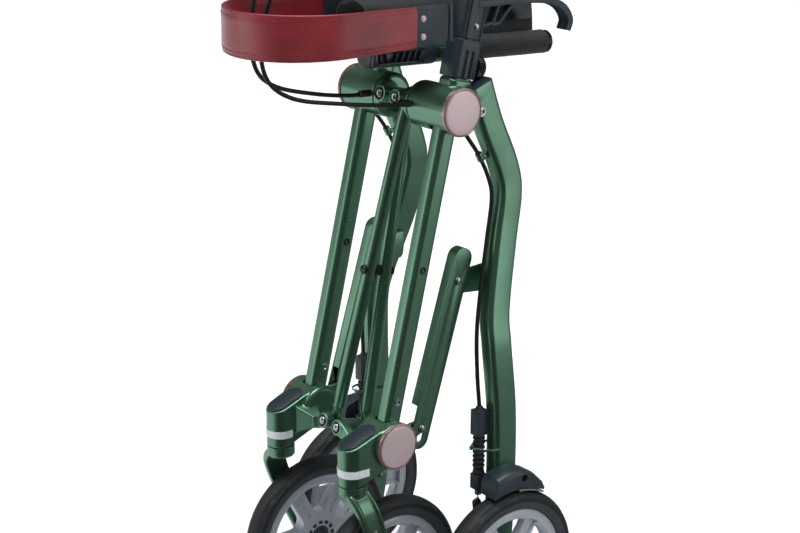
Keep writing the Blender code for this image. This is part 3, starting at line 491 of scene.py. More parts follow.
FINISHES = {
    "green": (painted("frame paint", linear(112, 156, 129), 0.92, 0.30), "frame_green"),
    "black": (moulded("black moulding", linear(38, 49, 56), 0.36), "plastic_black"),
    "gloss": (moulded("black gloss moulding", linear(20, 24, 27), 0.22, 500.0, 0.0001), "plastic_black"),
    "grip": (moulded("grip rubber", linear(34, 37, 40), 0.68, 1400.0, 0.0004), "rubber_grip"),
    "tyre": (moulded("tyre rubber", linear(30, 34, 36), 0.62, 1100.0, 0.0004), "tyre"),
    "wall": (moulded("tyre side", linear(52, 58, 64), 0.55, 1100.0, 0.0003), "tyre"),
    "rim": (painted("rim paint", linear(186, 192, 200), 0.45, 0.36, 0.05), "rim"),
    "rose": (brushed("cap face", linear(206, 186, 188), 0.45, 0.36, (1.0, 1.0, 1.0), 1500.0), "cap_rose"),
    "rose_wall": (brushed("cap wall", linear(176, 142, 142), 0.75, 0.30, (0.1, 1.0, 1.0)), "cap_rose"),
    "steel": (brushed("bright steel", linear(205, 208, 212), 1.0, 0.24), "steel"),
    "dark_steel": (brushed("dark steel", linear(96, 99, 104), 1.0, 0.35), "steel"),
    "tape": (taped("reflective tape", linear(226, 230, 232)), "plastic_black"),
    "cable": (housed("cable housing", linear(22, 24, 27)), "cable"),
    "leather": (leather("strap leather", linear(128, 16, 28)), "leather"),
    "thread": (woven("thread", linear(146, 30, 48), 1400.0), "leather"),
    "fabric": (woven("seat mesh", linear(19, 22, 26), 260.0), "fabric"),
    "vinyl": (moulded("vinyl", linear(13, 15, 18), 0.18, 300.0, 0.0004), "fabric"),
}


# ------------------------------------------------------------------- pieces
def mesh_of(name, build, side=1):
    bm = bmesh.new()
    build(bm)
    if side < 0:
        bmesh.ops.scale(bm, vec=(-1.0, 1.0, 1.0), verts=bm.verts)
    bmesh.ops.translate(bm, vec=SHIFT, verts=bm.verts)
    bmesh.ops.recalc_face_normals(bm, faces=bm.faces)
    mesh = bpy.data.meshes.new(name)
    bm.to_mesh(mesh)
    bm.free()
    return mesh


def place(name, mesh):
    ob = bpy.data.objects.new(name, mesh)
    bpy.context.scene.collection.objects.link(ob)
    return ob


def freeze(ob, spare=()):
    """Keep what the modifiers make, and drop them and their tools."""
    seen = ob.evaluated_get(bpy.context.evaluated_depsgraph_get())
    mesh = bpy.data.meshes.new_from_object(seen)
    ob.modifiers.clear()
    ob.data = mesh
    for tool in spare:
        bpy.data.objects.remove(tool, do_unlink=True)


def piece(name, body, finish, build, side=1, stands_for=(), add=(), cut=(),
          cast=0.0, bevel=0.0, smooth=32.0, wrap=None, soften=8):
    """One visible piece, in its place, with its finish, riding on its body."""
    ob = place(name, mesh_of(name, build, side))
    tools = []
    if cast:
        change = ob.modifiers.new("cast", "REMESH")
        change.mode = "VOXEL"
        change.voxel_size = cast * 1.0
        change = ob.modifiers.new("soften", "SMOOTH")
        change.factor = 0.5
        change.iterations = soften
    for operation, builds in (("UNION", add), ("DIFFERENCE", cut)):
        for number, extra in enumerate(builds):
            tool = place("tool", mesh_of("tool", extra, side))
            tools.append(tool)
            change = ob.modifiers.new(operation + str(number), "BOOLEAN")
            change.operation = operation
            change.solver = "EXACT"
            change.object = tool
    if wrap:
        change = ob.modifiers.new("wrap", "SHRINKWRAP")
        change.target = wrap
        change.offset = 0.0002
        change = ob.modifiers.new("skin", "SOLIDIFY")
        change.thickness = 0.0005
        change.offset = 1.0
    if bevel:
        change = ob.modifiers.new("edges", "BEVEL")
        change.width = bevel
        change.segments = 3
        change.limit_method = "ANGLE"
        change.angle_limit = math.radians(38.0)
    freeze(ob, tools)
    finished(ob, finish, smooth)
    if body:
        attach(ob, body)
    if stands_for:
        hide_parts(*stands_for)
    return ob


def finished(ob, finish, smooth=32.0):
    made, slot = FINISHES[finish]
    ob.data.shade_smooth()
    ob.data.set_sharp_from_angle(angle=math.radians(smooth))
    ob.data.materials.clear()
    ob.data.materials.append(made.material)


# ------------------------------------------------------------------- wheels
TREAD_STEPS = 144
SPOKES = 6


def tyre_ring(turn_index, centre):
    """Cross-section of the tyre, with its stepped groove, at one station."""
    turn = 2.0 * math.pi * turn_index / TREAD_STEPS
    step = (turn_index // 6) % 2
    edge = turn_index % 6 == 0
    seat = RIM_R + 0.0003
    rows = [(-0.0105, seat), (-0.0118, seat + 0.0012), (-0.0130, seat + 0.0050),
            (-0.0136, seat + 0.0100), (-0.0140, WHEEL_R - 0.0062)]
    for x in (-0.0136, -0.0126, -0.0112, -0.0095, -0.0080, -0.0070, -0.0060, -0.0045, -0.0030,
              -0.0015, 0.0, 0.0015, 0.0030, 0.0045, 0.0060, 0.0070, 0.0080, 0.0095, 0.0112,
              0.0126, 0.0136):
        rise = WHEEL_R - 0.0072 * (abs(x) / TYRE_HALF) ** 2.6
        groove = 0.0080 if step else 0.0112
        if abs(abs(x) - groove) < 0.0004 or (edge and 0.0080 <= abs(x) <= 0.0112):
            rise -= 0.0013
        rows.append((x, rise))
    rows += [(0.0140, WHEEL_R - 0.0062), (0.0136, seat + 0.0100), (0.0130, seat + 0.0050),
             (0.0118, seat + 0.0012), (0.0105, seat)]
    return [
        Vector((centre.x + x, centre.y + r * math.cos(turn), centre.z + r * math.sin(turn)))
        for x, r in rows
    ]


def spoke_window(centre, number, far, near, half_far, half_near, corner):
    """Outline of the opening between two spokes, as (y, z)."""
    middle = 2.0 * math.pi * (number + 0.45) / SPOKES
    corners = []
    for i in range(7):
        turn = middle + half_far * (1.0 - i / 3.0)
        corners.append((centre.y + far * math.cos(turn), centre.z + far * math.sin(turn)))
    for turn in (middle - half_near, middle + half_near):
        corners.append((centre.y + near * math.cos(turn), centre.z + near * math.sin(turn)))
    return soft_corners(corners, corner, 4)


def wheel(prefix, tag, side, centre):
    body = prefix + "_wheel_" + tag

    def tyre(bm):
        loft(bm, [tyre_ring(i, centre) for i in range(TREAD_STEPS)], closed=True)

    ob = piece(body + "_tyre", body, "tyre", tyre, side,
               stands_for=[prefix + "_tyre_" + tag], smooth=40.0)
    ob.data.materials.append(FINISHES["wall"][0].material)
    for face in ob.data.polygons:
        away = math.hypot(face.center.y - SHIFT.y - centre.y, face.center.z - centre.z)
        if away < WHEEL_R - 0.0100:
            face.material_index = 1

    def rim(bm):
        half = [(0.0, 0.0125), (-0.0100, 0.0125), (-0.0106, 0.0135), (-0.0106, 0.0205),
                (-0.0098, 0.0225), (-0.0062, 0.0380), (-0.0050, 0.0520), (-0.0050, 0.0645),
                (-0.0062, 0.0662), (-0.0092, 0.0680), (-0.0098, 0.0700), (-0.0098, 0.0752),
                (-0.0092, 0.0762), (-0.0095, 0.0778), (-0.0092, RIM_R), (0.0, RIM_R)]
        profile = half + [(-a, r) for a, r in reversed(half[1:-1])]
        lathe(bm, profile, centre, count=120, closed=True)

    def windows(bm):
        for number in range(SPOKES):
            outline = spoke_window(centre, number, 0.0650, 0.0300, 0.365, 0.20, 0.0060)
            extruded(bm, outline, centre.x - 0.02, centre.x + 0.02)

    def grooves(bm):
        for number in range(SPOKES):
            turn = 2.0 * math.pi * (number + 0.95) / SPOKES
            out = Vector((0.0, math.cos(turn), math.sin(turn)))
            aside = X_AXIS.cross(out)
            for face in (-1, 1):
                rings = []
                for radius, half, depth in (
                    (0.0300, 0.0014, 0.0066), (0.0480, 0.0034, 0.0040), (0.0680, 0.0075, 0.0030),
                ):
                    middle = centre + out * radius
                    rings.append([
                        middle + X_AXIS * face * 0.0200 - aside * half * 1.5,
                        middle + X_AXIS * face * 0.0200 + aside * half * 1.5,
                        middle + X_AXIS * face * depth + aside * half,
                        middle + X_AXIS * face * depth - aside * half,
                    ])
                loft(bm, rings)

    piece(body + "_rim", body, "rim", rim, side, cut=[windows, grooves],
          stands_for=[prefix + "_rim_" + tag], bevel=0.0006, smooth=35.0)

    def hub_cover(bm):
        lathe(bm, [(-0.0112, 0.0), (-0.0112, 0.0095), (-0.0108, 0.0102), (-0.0095, 0.0122),
                   (0.0095, 0.0122), (0.0108, 0.0102), (0.0112, 0.0095), (0.0112, 0.0)][1:-1],
              centre, count=72)

    piece(body + "_hub", body, "black", hub_cover, side)

    def teeth(bm):
        for number in range(12):
            turn = 2.0 * math.pi * number / 12
            out = Vector((0.0, math.cos(turn), math.sin(turn)))
            for face in (-1, 1):
                slab(bm, soft_corners([(-0.0024, -0.0022), (0.0024, -0.0022), (0.0028, 0.0022),
                                       (-0.0028, 0.0022)], 0.0006, 2),
                     centre + out * 0.0172 + X_AXIS * face * 0.0106, X_AXIS, out, 0.0010)

    piece(body + "_hub_ring", body, "black", teeth, side)


# -------------------------------------------------------------- side frames
def hub_slot(bm, centre, direction, reach):
    """The opening in a hub's wall that the leg passes through and swings in."""
    swing = math.radians(5.0)
    half_y = LEG_HALF[1] + BORE_R * math.sin(swing) + 0.0014
    half_x = LEG_HALF[0] + 0.0010
    turned_dir = Matrix.Rotation(-swing, 3, "X") @ direction
    aside = X_AXIS.cross(turned_dir)
    rings = []
    for along in (0.008, reach):
        rings.append([
            centre + turned_dir * along + X_AXIS * (SIDE_X + a) + aside * b
            for a, b in rounded(half_x, half_y, 0.0030, 4)
        ])
    loft(bm, rings)


def hub_cap(name, body, centre, side, cad):
    def wall(bm):
        lathe(bm, [
            (HUB_FACE_X + 0.0003, 0.0150), (HUB_FACE_X + 0.0003, 0.0258), (HUB_FACE_X + 0.0008, 0.0266),
            (0.0925, CAP_R), (0.0949, CAP_R), (0.0957, CAP_R - 0.0002), (0.0961, CAP_R - 0.0009),
            (0.0963, 0.0254), (0.0957, 0.0249), (0.0950, 0.0150),
        ], centre)

    def face(bm):
        lathe(bm, [
            (0.0940, 0.0150), (0.0940, 0.0247), (0.0958, 0.0247), (0.0965, 0.0241), (0.0968, 0.0228),
            (0.0970, 0.0190), (0.0972, 0.0120), (0.0974, 0.0050), (0.0974, 0.0010),
        ], centre)

    piece(name + "_wall", body, "rose_wall", wall, side, stands_for=[cad])
    piece(name + "_face", body, "rose", face, side, smooth=60.0)


def upper_side(side, tag):
    body = "side_" + tag

    def hub(bm):
        lathe(bm, [
            (0.0303, 0.0060), (0.0303, 0.0235), (0.0306, 0.0252), (0.0316, HUB_R),
            (HUB_FACE_X, HUB_R), (HUB_FACE_X, 0.0060),
        ], UPPER)
        start = POST_BASE - POST_DIR * 0.0165
        end = POST_BASE + POST_DIR * 0.0006
        swept(bm, [start, end], rounded(0.0123, 0.0148, 0.0060))
        swept(bm, [start, POST_BASE - POST_DIR * 0.0020], rounded(0.0138, 0.0163, 0.0075))

    def bore(bm):
        rod(bm, UPPER + X_AXIS * 0.0350, UPPER + X_AXIS * 0.0995, BORE_R, 64)

    def inner_bore(bm):
        rod(bm, UPPER + X_AXIS * 0.0200, UPPER + X_AXIS * 0.0400, 0.0112, 48)

    def slot(bm):
        hub_slot(bm, UPPER, LEG_DIR, 0.040)

    piece("hub_upper_" + tag, body, "green", hub, side, cut=[bore, inner_bore, slot], cast=0.0008,
          stands_for=["upper_hub_" + tag])
    hub_cap("hub_upper_cap_" + tag, body, UPPER, side, "upper_hub_cap_" + tag)

    leg_body = "leg_" + tag
    leg_start = UPPER + X_AXIS * SIDE_X + LEG_DIR * 0.015
    leg_end = LOWER + X_AXIS * SIDE_X - LEG_DIR * 0.015

    def leg(bm):
        swept(bm, [leg_start, leg_end], rounded(*LEG_HALF, 0.0062, 8))

    def barrels(bm):
        for centre in (UPPER, LOWER):
            lathe(bm, [(0.0550, 0.0200), (0.0558, 0.0217), (0.0892, 0.0217), (0.0900, 0.0200)], centre,
                  count=64)

    piece("leg_front_" + tag, leg_body, "green", leg, side, add=[barrels],
          stands_for=["front_leg_" + tag])

    def on_leg(height, x):
        share = (UPPER.z - height) / (UPPER.z - LOWER.z)
        point = UPPER.lerp(LOWER, share)
        return Vector((x, point.y, point.z))

    def plugs(bm):
        for x, axis in ((SIDE_X + LEG_HALF[0], X_AXIS), (SIDE_X - LEG_HALF[0], -X_AXIS)):
            socket_head(bm, on_leg(0.4680, x) - axis * 0.0008, axis, 0.0044, 0.0014, 0.42)

    def bolts(bm):
        socket_head(bm, on_leg(0.3196, SIDE_X + LEG_HALF[0]) - X_AXIS * 0.0006, X_AXIS, 0.0044, 0.0024, 0.5)
        centre = on_leg(0.3196, SIDE_X - LEG_HALF[0])
        lathe(bm, [(0.0006, 0.0022), (0.0006, 0.0044), (-0.0010, 0.0042), (-0.0012, 0.0034),
                   (-0.0004, 0.0026)], centre, count=40, closed=True)

    piece("leg_plugs_" + tag, leg_body, "gloss", plugs, side)
    piece("leg_bolts_" + tag, leg_body, "steel", bolts, side)

    depth = 0.0115 if side > 0 else 0.0342
    eye_centre = HINGE_TOP

    def lug(bm):
        rings = [circle(UPPER + X_AXIS * x, X_AXIS, r, 64) for x, r in (
            (0.0300, 0.0252), (0.0290, 0.0262), (0.0270, 0.0258), (0.0245, 0.0236), (0.0232, 0.0200))]
        loft(bm, rings)
        hull(bm, circle(UPPER + X_AXIS * 0.0285, X_AXIS, 0.0240, 48)
             + circle(Vector((HINGE_X + 0.0040, -0.0225, 0.6505)), X_AXIS, 0.0088, 24))
        rod(bm, eye_centre + BRACE_AXIS * 0.0002, eye_centre + BRACE_AXIS * depth, 0.0096)
        hull(bm, circle(eye_centre + BRACE_AXIS * 0.0006, BRACE_AXIS, 0.0094, 32)
             + circle(eye_centre + BRACE_AXIS * 0.0108, BRACE_AXIS, 0.0094, 32)
             + circle(Vector((HINGE_X + 0.0130, -0.0170, 0.6490)), X_AXIS, 0.0090, 24))

    def counterbore(bm):
        rod(bm, eye_centre - BRACE_AXIS * 0.0100, eye_centre + BRACE_AXIS * 0.0032, 0.0070)

    def clearance(bm):
        reach = BRACE_DEPTH["a"] if side > 0 else BRACE_DEPTH["b"]
        middle = eye_centre + BRACE_AXIS * reach
        down = (HINGE_LOW - HINGE_TOP).normalized()
        loft(bm, [
            [middle + down * s + X_AXIS * a + BRACE_AXIS * b for a, b in rounded(0.0096, 0.0079, 0.0020, 2)]
            for s in (-0.0125, 0.0500)
        ])

    piece("hinge_upper_" + tag, leg_body, "green", lug, side, cast=0.0007,
          cut=[counterbore, clearance], stands_for=["hinge_lug_" + tag], soften=6)
    hinge_screw("hinge_upper_screw_" + tag, leg_body, eye_centre, side)

    def hinge_pin(bm):
        rod(bm, eye_centre + BRACE_AXIS * 0.0040, eye_centre + BRACE_AXIS * (depth + 0.0142), 0.0030, 24)

    def axle(bm):
        rod(bm, UPPER + X_AXIS * 0.0270, UPPER + X_AXIS * 0.0547, 0.0105, 40)

    piece("hinge_upper_pin_" + tag, leg_body, "dark_steel", hinge_pin, side)
    piece("hub_axle_" + tag, leg_body, "dark_steel", axle, side)


def hinge_screw(name, body, centre, side):
    """Socket screw in a black washer, set into a hinge eye."""
    def washer(bm):
        lathe(bm, [(0.0030, 0.0030), (0.0030, 0.0068), (0.0012, 0.0068), (0.0006, 0.0062),
                   (0.0010, 0.0052), (0.0020, 0.0048), (0.0020, 0.0030)], centre, BRACE_AXIS, 48, True)

    def screw(bm):
        socket_head(bm, centre + BRACE_AXIS * 0.0026, -BRACE_AXIS, 0.0046, 0.0032, 0.52)

    piece(name + "_washer", body, "gloss", washer, side)
    piece(name, body, "steel", screw, side)


LEG_PATH = (
    (0.0830, 0.0310, 0.6700), (0.0830, 0.0480, 0.6240), (0.0835, 0.0715, 0.5730),
    (0.0850, 0.0775, 0.5390), (0.0900, 0.0660, 0.4850), (0.1050, 0.0440, 0.4100),
    (0.1135, 0.0400, 0.3700), (0.1190, 0.0435, 0.3000), (0.1190, 0.0455, 0.2350),
    (0.1190, 0.0430, 0.1400), (0.1190, 0.0330, 0.0780),
)


def rear_side(side, tag):
    body = "side_" + tag
    path = smooth_path(LEG_PATH, 8)

    def leg(bm):
        swept(bm, path, rounded(*REAR_HALF, 0.0060, 8))

    def axle_boss(bm):
        rod(bm, (0.1250, REAR_WHEEL.y, REAR_WHEEL.z), (0.1342, REAR_WHEEL.y, REAR_WHEEL.z), 0.0090, 48)

    def clear_hub(bm):
        rod(bm, UPPER + X_AXIS * 0.0600, UPPER + X_AXIS * 0.1050, HUB_R + 0.0016, 96)

    def clear_stub(bm):
        swept(bm, [POST_BASE - POST_DIR * 0.0200, POST_BASE + POST_DIR * 0.0200],
              rounded(0.0134, 0.0159, 0.0060))

    def open_top(bm):
        swept(bm, [path[0] - (path[1] - path[0]), path[0] + (path[1] - path[0]).normalized() * 0.0035],
              rounded(REAR_HALF[0] - 0.0016, REAR_HALF[1] - 0.0016, 0.0045))

    piece("leg_rear_" + tag, body, "green", leg, side, add=[axle_boss],
          cut=[clear_hub, clear_stub, open_top], bevel=0.0004,
          stands_for=["rear_leg_" + tag])

    def plug(bm):
        along = (path[1] - path[0]).normalized()
        swept(bm, [path[0] - along * 0.0004, path[0] + along * 0.0030],
              rounded(REAR_HALF[0] - 0.0017, REAR_HALF[1] - 0.0017, 0.0044))

    piece("leg_rear_plug_" + tag, body, "black", plug, side, cut=[clear_hub, clear_stub], bevel=0.0004)

    def bolt(bm):
        centre = Vector((0.0940, 0.0290, 0.6404))
        lathe(bm, [(-0.0004, 0.0020), (-0.0004, 0.0056), (0.0004, 0.0056), (0.0008, 0.0052),
                   (0.0008, 0.0020)], centre, count=40, closed=True)
        socket_head(bm, centre, X_AXIS, 0.0040, 0.0026, 0.5)

    piece("leg_rear_bolt_" + tag, body, "steel", bolt, side)

    def link_plate(bm):
        outline = soft_corners([
            (LINK_TOP.y - 0.0100, 0.4365), (LINK_TOP.y - 0.0100, 0.4565), (0.0600, 0.4595), (0.0560, 0.4250),
            (0.0120, 0.4300),
        ], 0.0080, 6)
        extruded(bm, outline, 0.0774, 0.0800)

    def welds(bm):
        for z in (0.4320, 0.4400, 0.4480, 0.4560):
            dome(bm, (0.0800, 0.0545 + (z - 0.4320) * 0.25, z), X_AXIS, 0.0018, 0.0010, 20)

    def clear_rivet(bm):
        rod(bm, (0.0760, LINK_TOP.y, LINK_TOP.z), (0.0810, LINK_TOP.y, LINK_TOP.z), 0.0028, 32)

    piece("link_bracket_" + tag, body, "green", link_plate, side, cut=[clear_rivet], bevel=0.0005)
    piece("link_bracket_welds_" + tag, body, "green", welds, side)

    def rivet(bm):
        lathe(bm, [(-0.0078, 0.0010), (-0.0078, 0.0042), (-0.0062, 0.0042), (-0.0062, 0.0026),
                   (0.0006, 0.0026), (0.0006, 0.0050), (0.0012, 0.0048), (0.0020, 0.0038),
                   (0.0025, 0.0022), (0.0026, 0.0008)],
              LINK_TOP, count=40)

    piece("link_rivet_" + tag, body, "steel", rivet, side)

    def clamp(bm):
        outline = rounded(0.0042, 0.0042, 0.0041, 8)
        start = Vector((0.0832, 0.0345, 0.5910))
        end = Vector((0.0832, 0.0395, 0.5820))
        swept(bm, [start, end], outline)
        block(bm, (0.0815, 0.0380, 0.5835), (0.0850, 0.0560, 0.5885))

    piece("cable_clamp_upper_" + tag, body, "green", clamp, side, bevel=0.0006)

    def tie(bm):
        middle = Vector((0.1145, 0.0300, 0.2480))
        path_round = []
        for i in range(33):
            turn = 2.0 * math.pi * i / 32
            path_round.append(middle + Vector((
                0.0155 * math.cos(turn), 0.0235 * math.sin(turn), -0.0030 * math.sin(turn))))
        rings = []
        for i, point in enumerate(path_round[:-1]):
            out = (point - middle).normalized()
            rings.append([point + out * a + Z_AXIS * b for a, b in rounded(0.0006, 0.0016, 0.0005, 2)])
        loft(bm, rings, closed=True)
        block(bm, (0.1085, 0.0050, 0.2480), (0.1115, 0.0085, 0.2525))

    piece("adjuster_tie_" + tag, body, "green", tie, side, bevel=0.0002)

    adjuster_parts(side, tag)
    brake_parts(side, tag)


def adjuster_parts(side, tag):
    body = "side_" + tag
    axis = Vector((0.1100, 0.0185, 0.0))

    def barrel(bm):
        slab(bm, soft_corners([(-0.0068, -0.0080), (0.0068, -0.0080), (0.0078, 0.0), (0.0068, 0.0075),
                               (-0.0068, 0.0075)], 0.0012, 3),
             axis + Z_AXIS * 0.2800, Z_AXIS, Y_AXIS, 0.0310)

    def collar(bm):
        lathe(bm, [(0.2955, 0.0030), (0.2955, 0.0050), (0.2985, 0.0040), (0.3000, 0.0032)], axis, Z_AXIS, 40)

    def bellows(bm):
        profile = [(0.2648, 0.0030), (0.2648, 0.0062)]
        for i in range(7):
            level = 0.2600 - 0.0058 * i
            profile += [(level + 0.0018, 0.0058), (level + 0.0008, 0.0072), (level - 0.0008, 0.0072),
                        (level - 0.0018, 0.0058)]
        profile += [(0.2190, 0.0066), (0.2160, 0.0070), (0.2150, 0.0030)]
        lathe(bm, profile, axis, Z_AXIS, 56)

    def connector(bm):
        slab(bm, soft_corners([(-0.0066, -0.0074), (0.0066, -0.0074), (0.0078, 0.0), (0.0066, 0.0074),
                               (-0.0066, 0.0074), (-0.0078, 0.0)], 0.0012, 3),
             axis + Z_AXIS * 0.2055, Z_AXIS, Y_AXIS, 0.0185)

    def tip(bm):
        lathe(bm, [(0.1965, 0.0020), (0.1965, 0.0044), (0.1925, 0.0044), (0.1922, 0.0036), (0.1905, 0.0036),
                   (0.1902, 0.0042), (0.1884, 0.0040), (0.1882, 0.0012)], axis, Z_AXIS, 40)

    def wire(bm):
        tube(bm, smooth_path([axis + Z_AXIS * 0.1890, (0.1085, 0.0190, 0.1840), (0.1060, 0.0200, 0.1790),
                              (0.1045, 0.0205, 0.1755)], 6), 0.0007, 10)

    piece("adjuster_barrel_" + tag, body, "black", barrel, side, add=[collar], bevel=0.0006,
          stands_for=["brake_adjuster_" + tag])
    piece("adjuster_bellows_" + tag, body, "grip", bellows, side)
    piece("adjuster_connector_" + tag, body, "black", connector, side, bevel=0.0006)
    piece("adjuster_tip_" + tag, body, "steel", tip, side)
    piece("brake_wire_" + tag, body, "steel", wire, side)


def brake_parts(side, tag):
    body = "side_" + tag
    centre = REAR_WHEEL

    def guard(bm):
        inner = 0.1190 + REAR_HALF[0] + 0.0005
        under = []
        for i in range(13):
            turn = math.radians(105.0 - 43.0 * i / 12.0)
            under.append((centre.y + 0.1052 * math.cos(turn), centre.z + 0.1052 * math.sin(turn)))
        over = [(0.0810, 0.1955), (0.0765, 0.2060), (0.0655, 0.2180), (0.0500, 0.2262),
                (0.0400, 0.2285), (0.0250, 0.2280), (0.0100, 0.2240), (0.0060, 0.2180)]
        rings = []
        for x, lower in ((inner, 0.0), (0.1500, 0.0), (0.1545, 0.0018), (0.1570, 0.0058)):
            ring = [Vector((x, y, z)) for y, z in under]
            for y, z in over:
                rise = max(z - 0.2000, 0.0) / 0.026
                ring.append(Vector((x, y, z - lower * rise)))
            rings.append(ring)
        loft(bm, rings)

    def hole(bm):
        rod(bm, (0.1480, BRAKE.y, BRAKE.z), (0.1700, BRAKE.y, BRAKE.z), 0.0046)

    piece("wheel_guard_" + tag, body, "black", guard, side, cut=[hole], bevel=0.0010, smooth=30.0,
          stands_for=["brake_guard_" + tag])

    brake_body = "brake_" + tag

    def shoe(bm):
        inner = []
        outer = []
        for i in range(15):
            turn = math.radians(84.0 - 23.0 * i / 14.0)
            inner.append((centre.y + 0.1015 * math.cos(turn), centre.z + 0.1015 * math.sin(turn)))
            outer.append((centre.y + 0.1038 * math.cos(turn), centre.z + 0.1038 * math.sin(turn)))
        extruded(bm, inner + outer[::-1], 0.1340, 0.1562)

    piece("shoe_" + tag, brake_body, "steel", shoe, side, bevel=0.0004, stands_for=["brake_shoe_" + tag])

    def arm(bm):
        outline = soft_corners([(0.0150, 0.1780), (0.0240, 0.1800), (0.0480, 0.1280), (0.0400, 0.1220),
                                (0.0180, 0.1560)], 0.0030, 5)
        extruded(bm, outline, 0.1030, 0.1075)

    def edge(bm):
        path = [Vector((0.1036, 0.0245, 0.1795)), Vector((0.1036, 0.0482, 0.1282))]
        tube(bm, smooth_path(path, 4), 0.0008, 10)
        socket_head(bm, (0.1030, 0.0420, 0.1300), -X_AXIS, 0.0032, 0.0016, 0.5)

    piece("shoe_arm_" + tag, brake_body, "black", arm, side, bevel=0.0005, stands_for=["brake_arm_" + tag])
    piece("shoe_arm_edge_" + tag, brake_body, "steel", edge, side)


# ------------------------------------------------------------ lower castings
TOP_SLOPE = Vector((0.0, 1.0, 0.376)).normalized()
TOP_FRONT = Vector((SIDE_X, -0.1518, 0.2775))


def top_height(y):
    return TOP_FRONT.z + (y - TOP_FRONT.y) * TOP_SLOPE.z / TOP_SLOPE.y


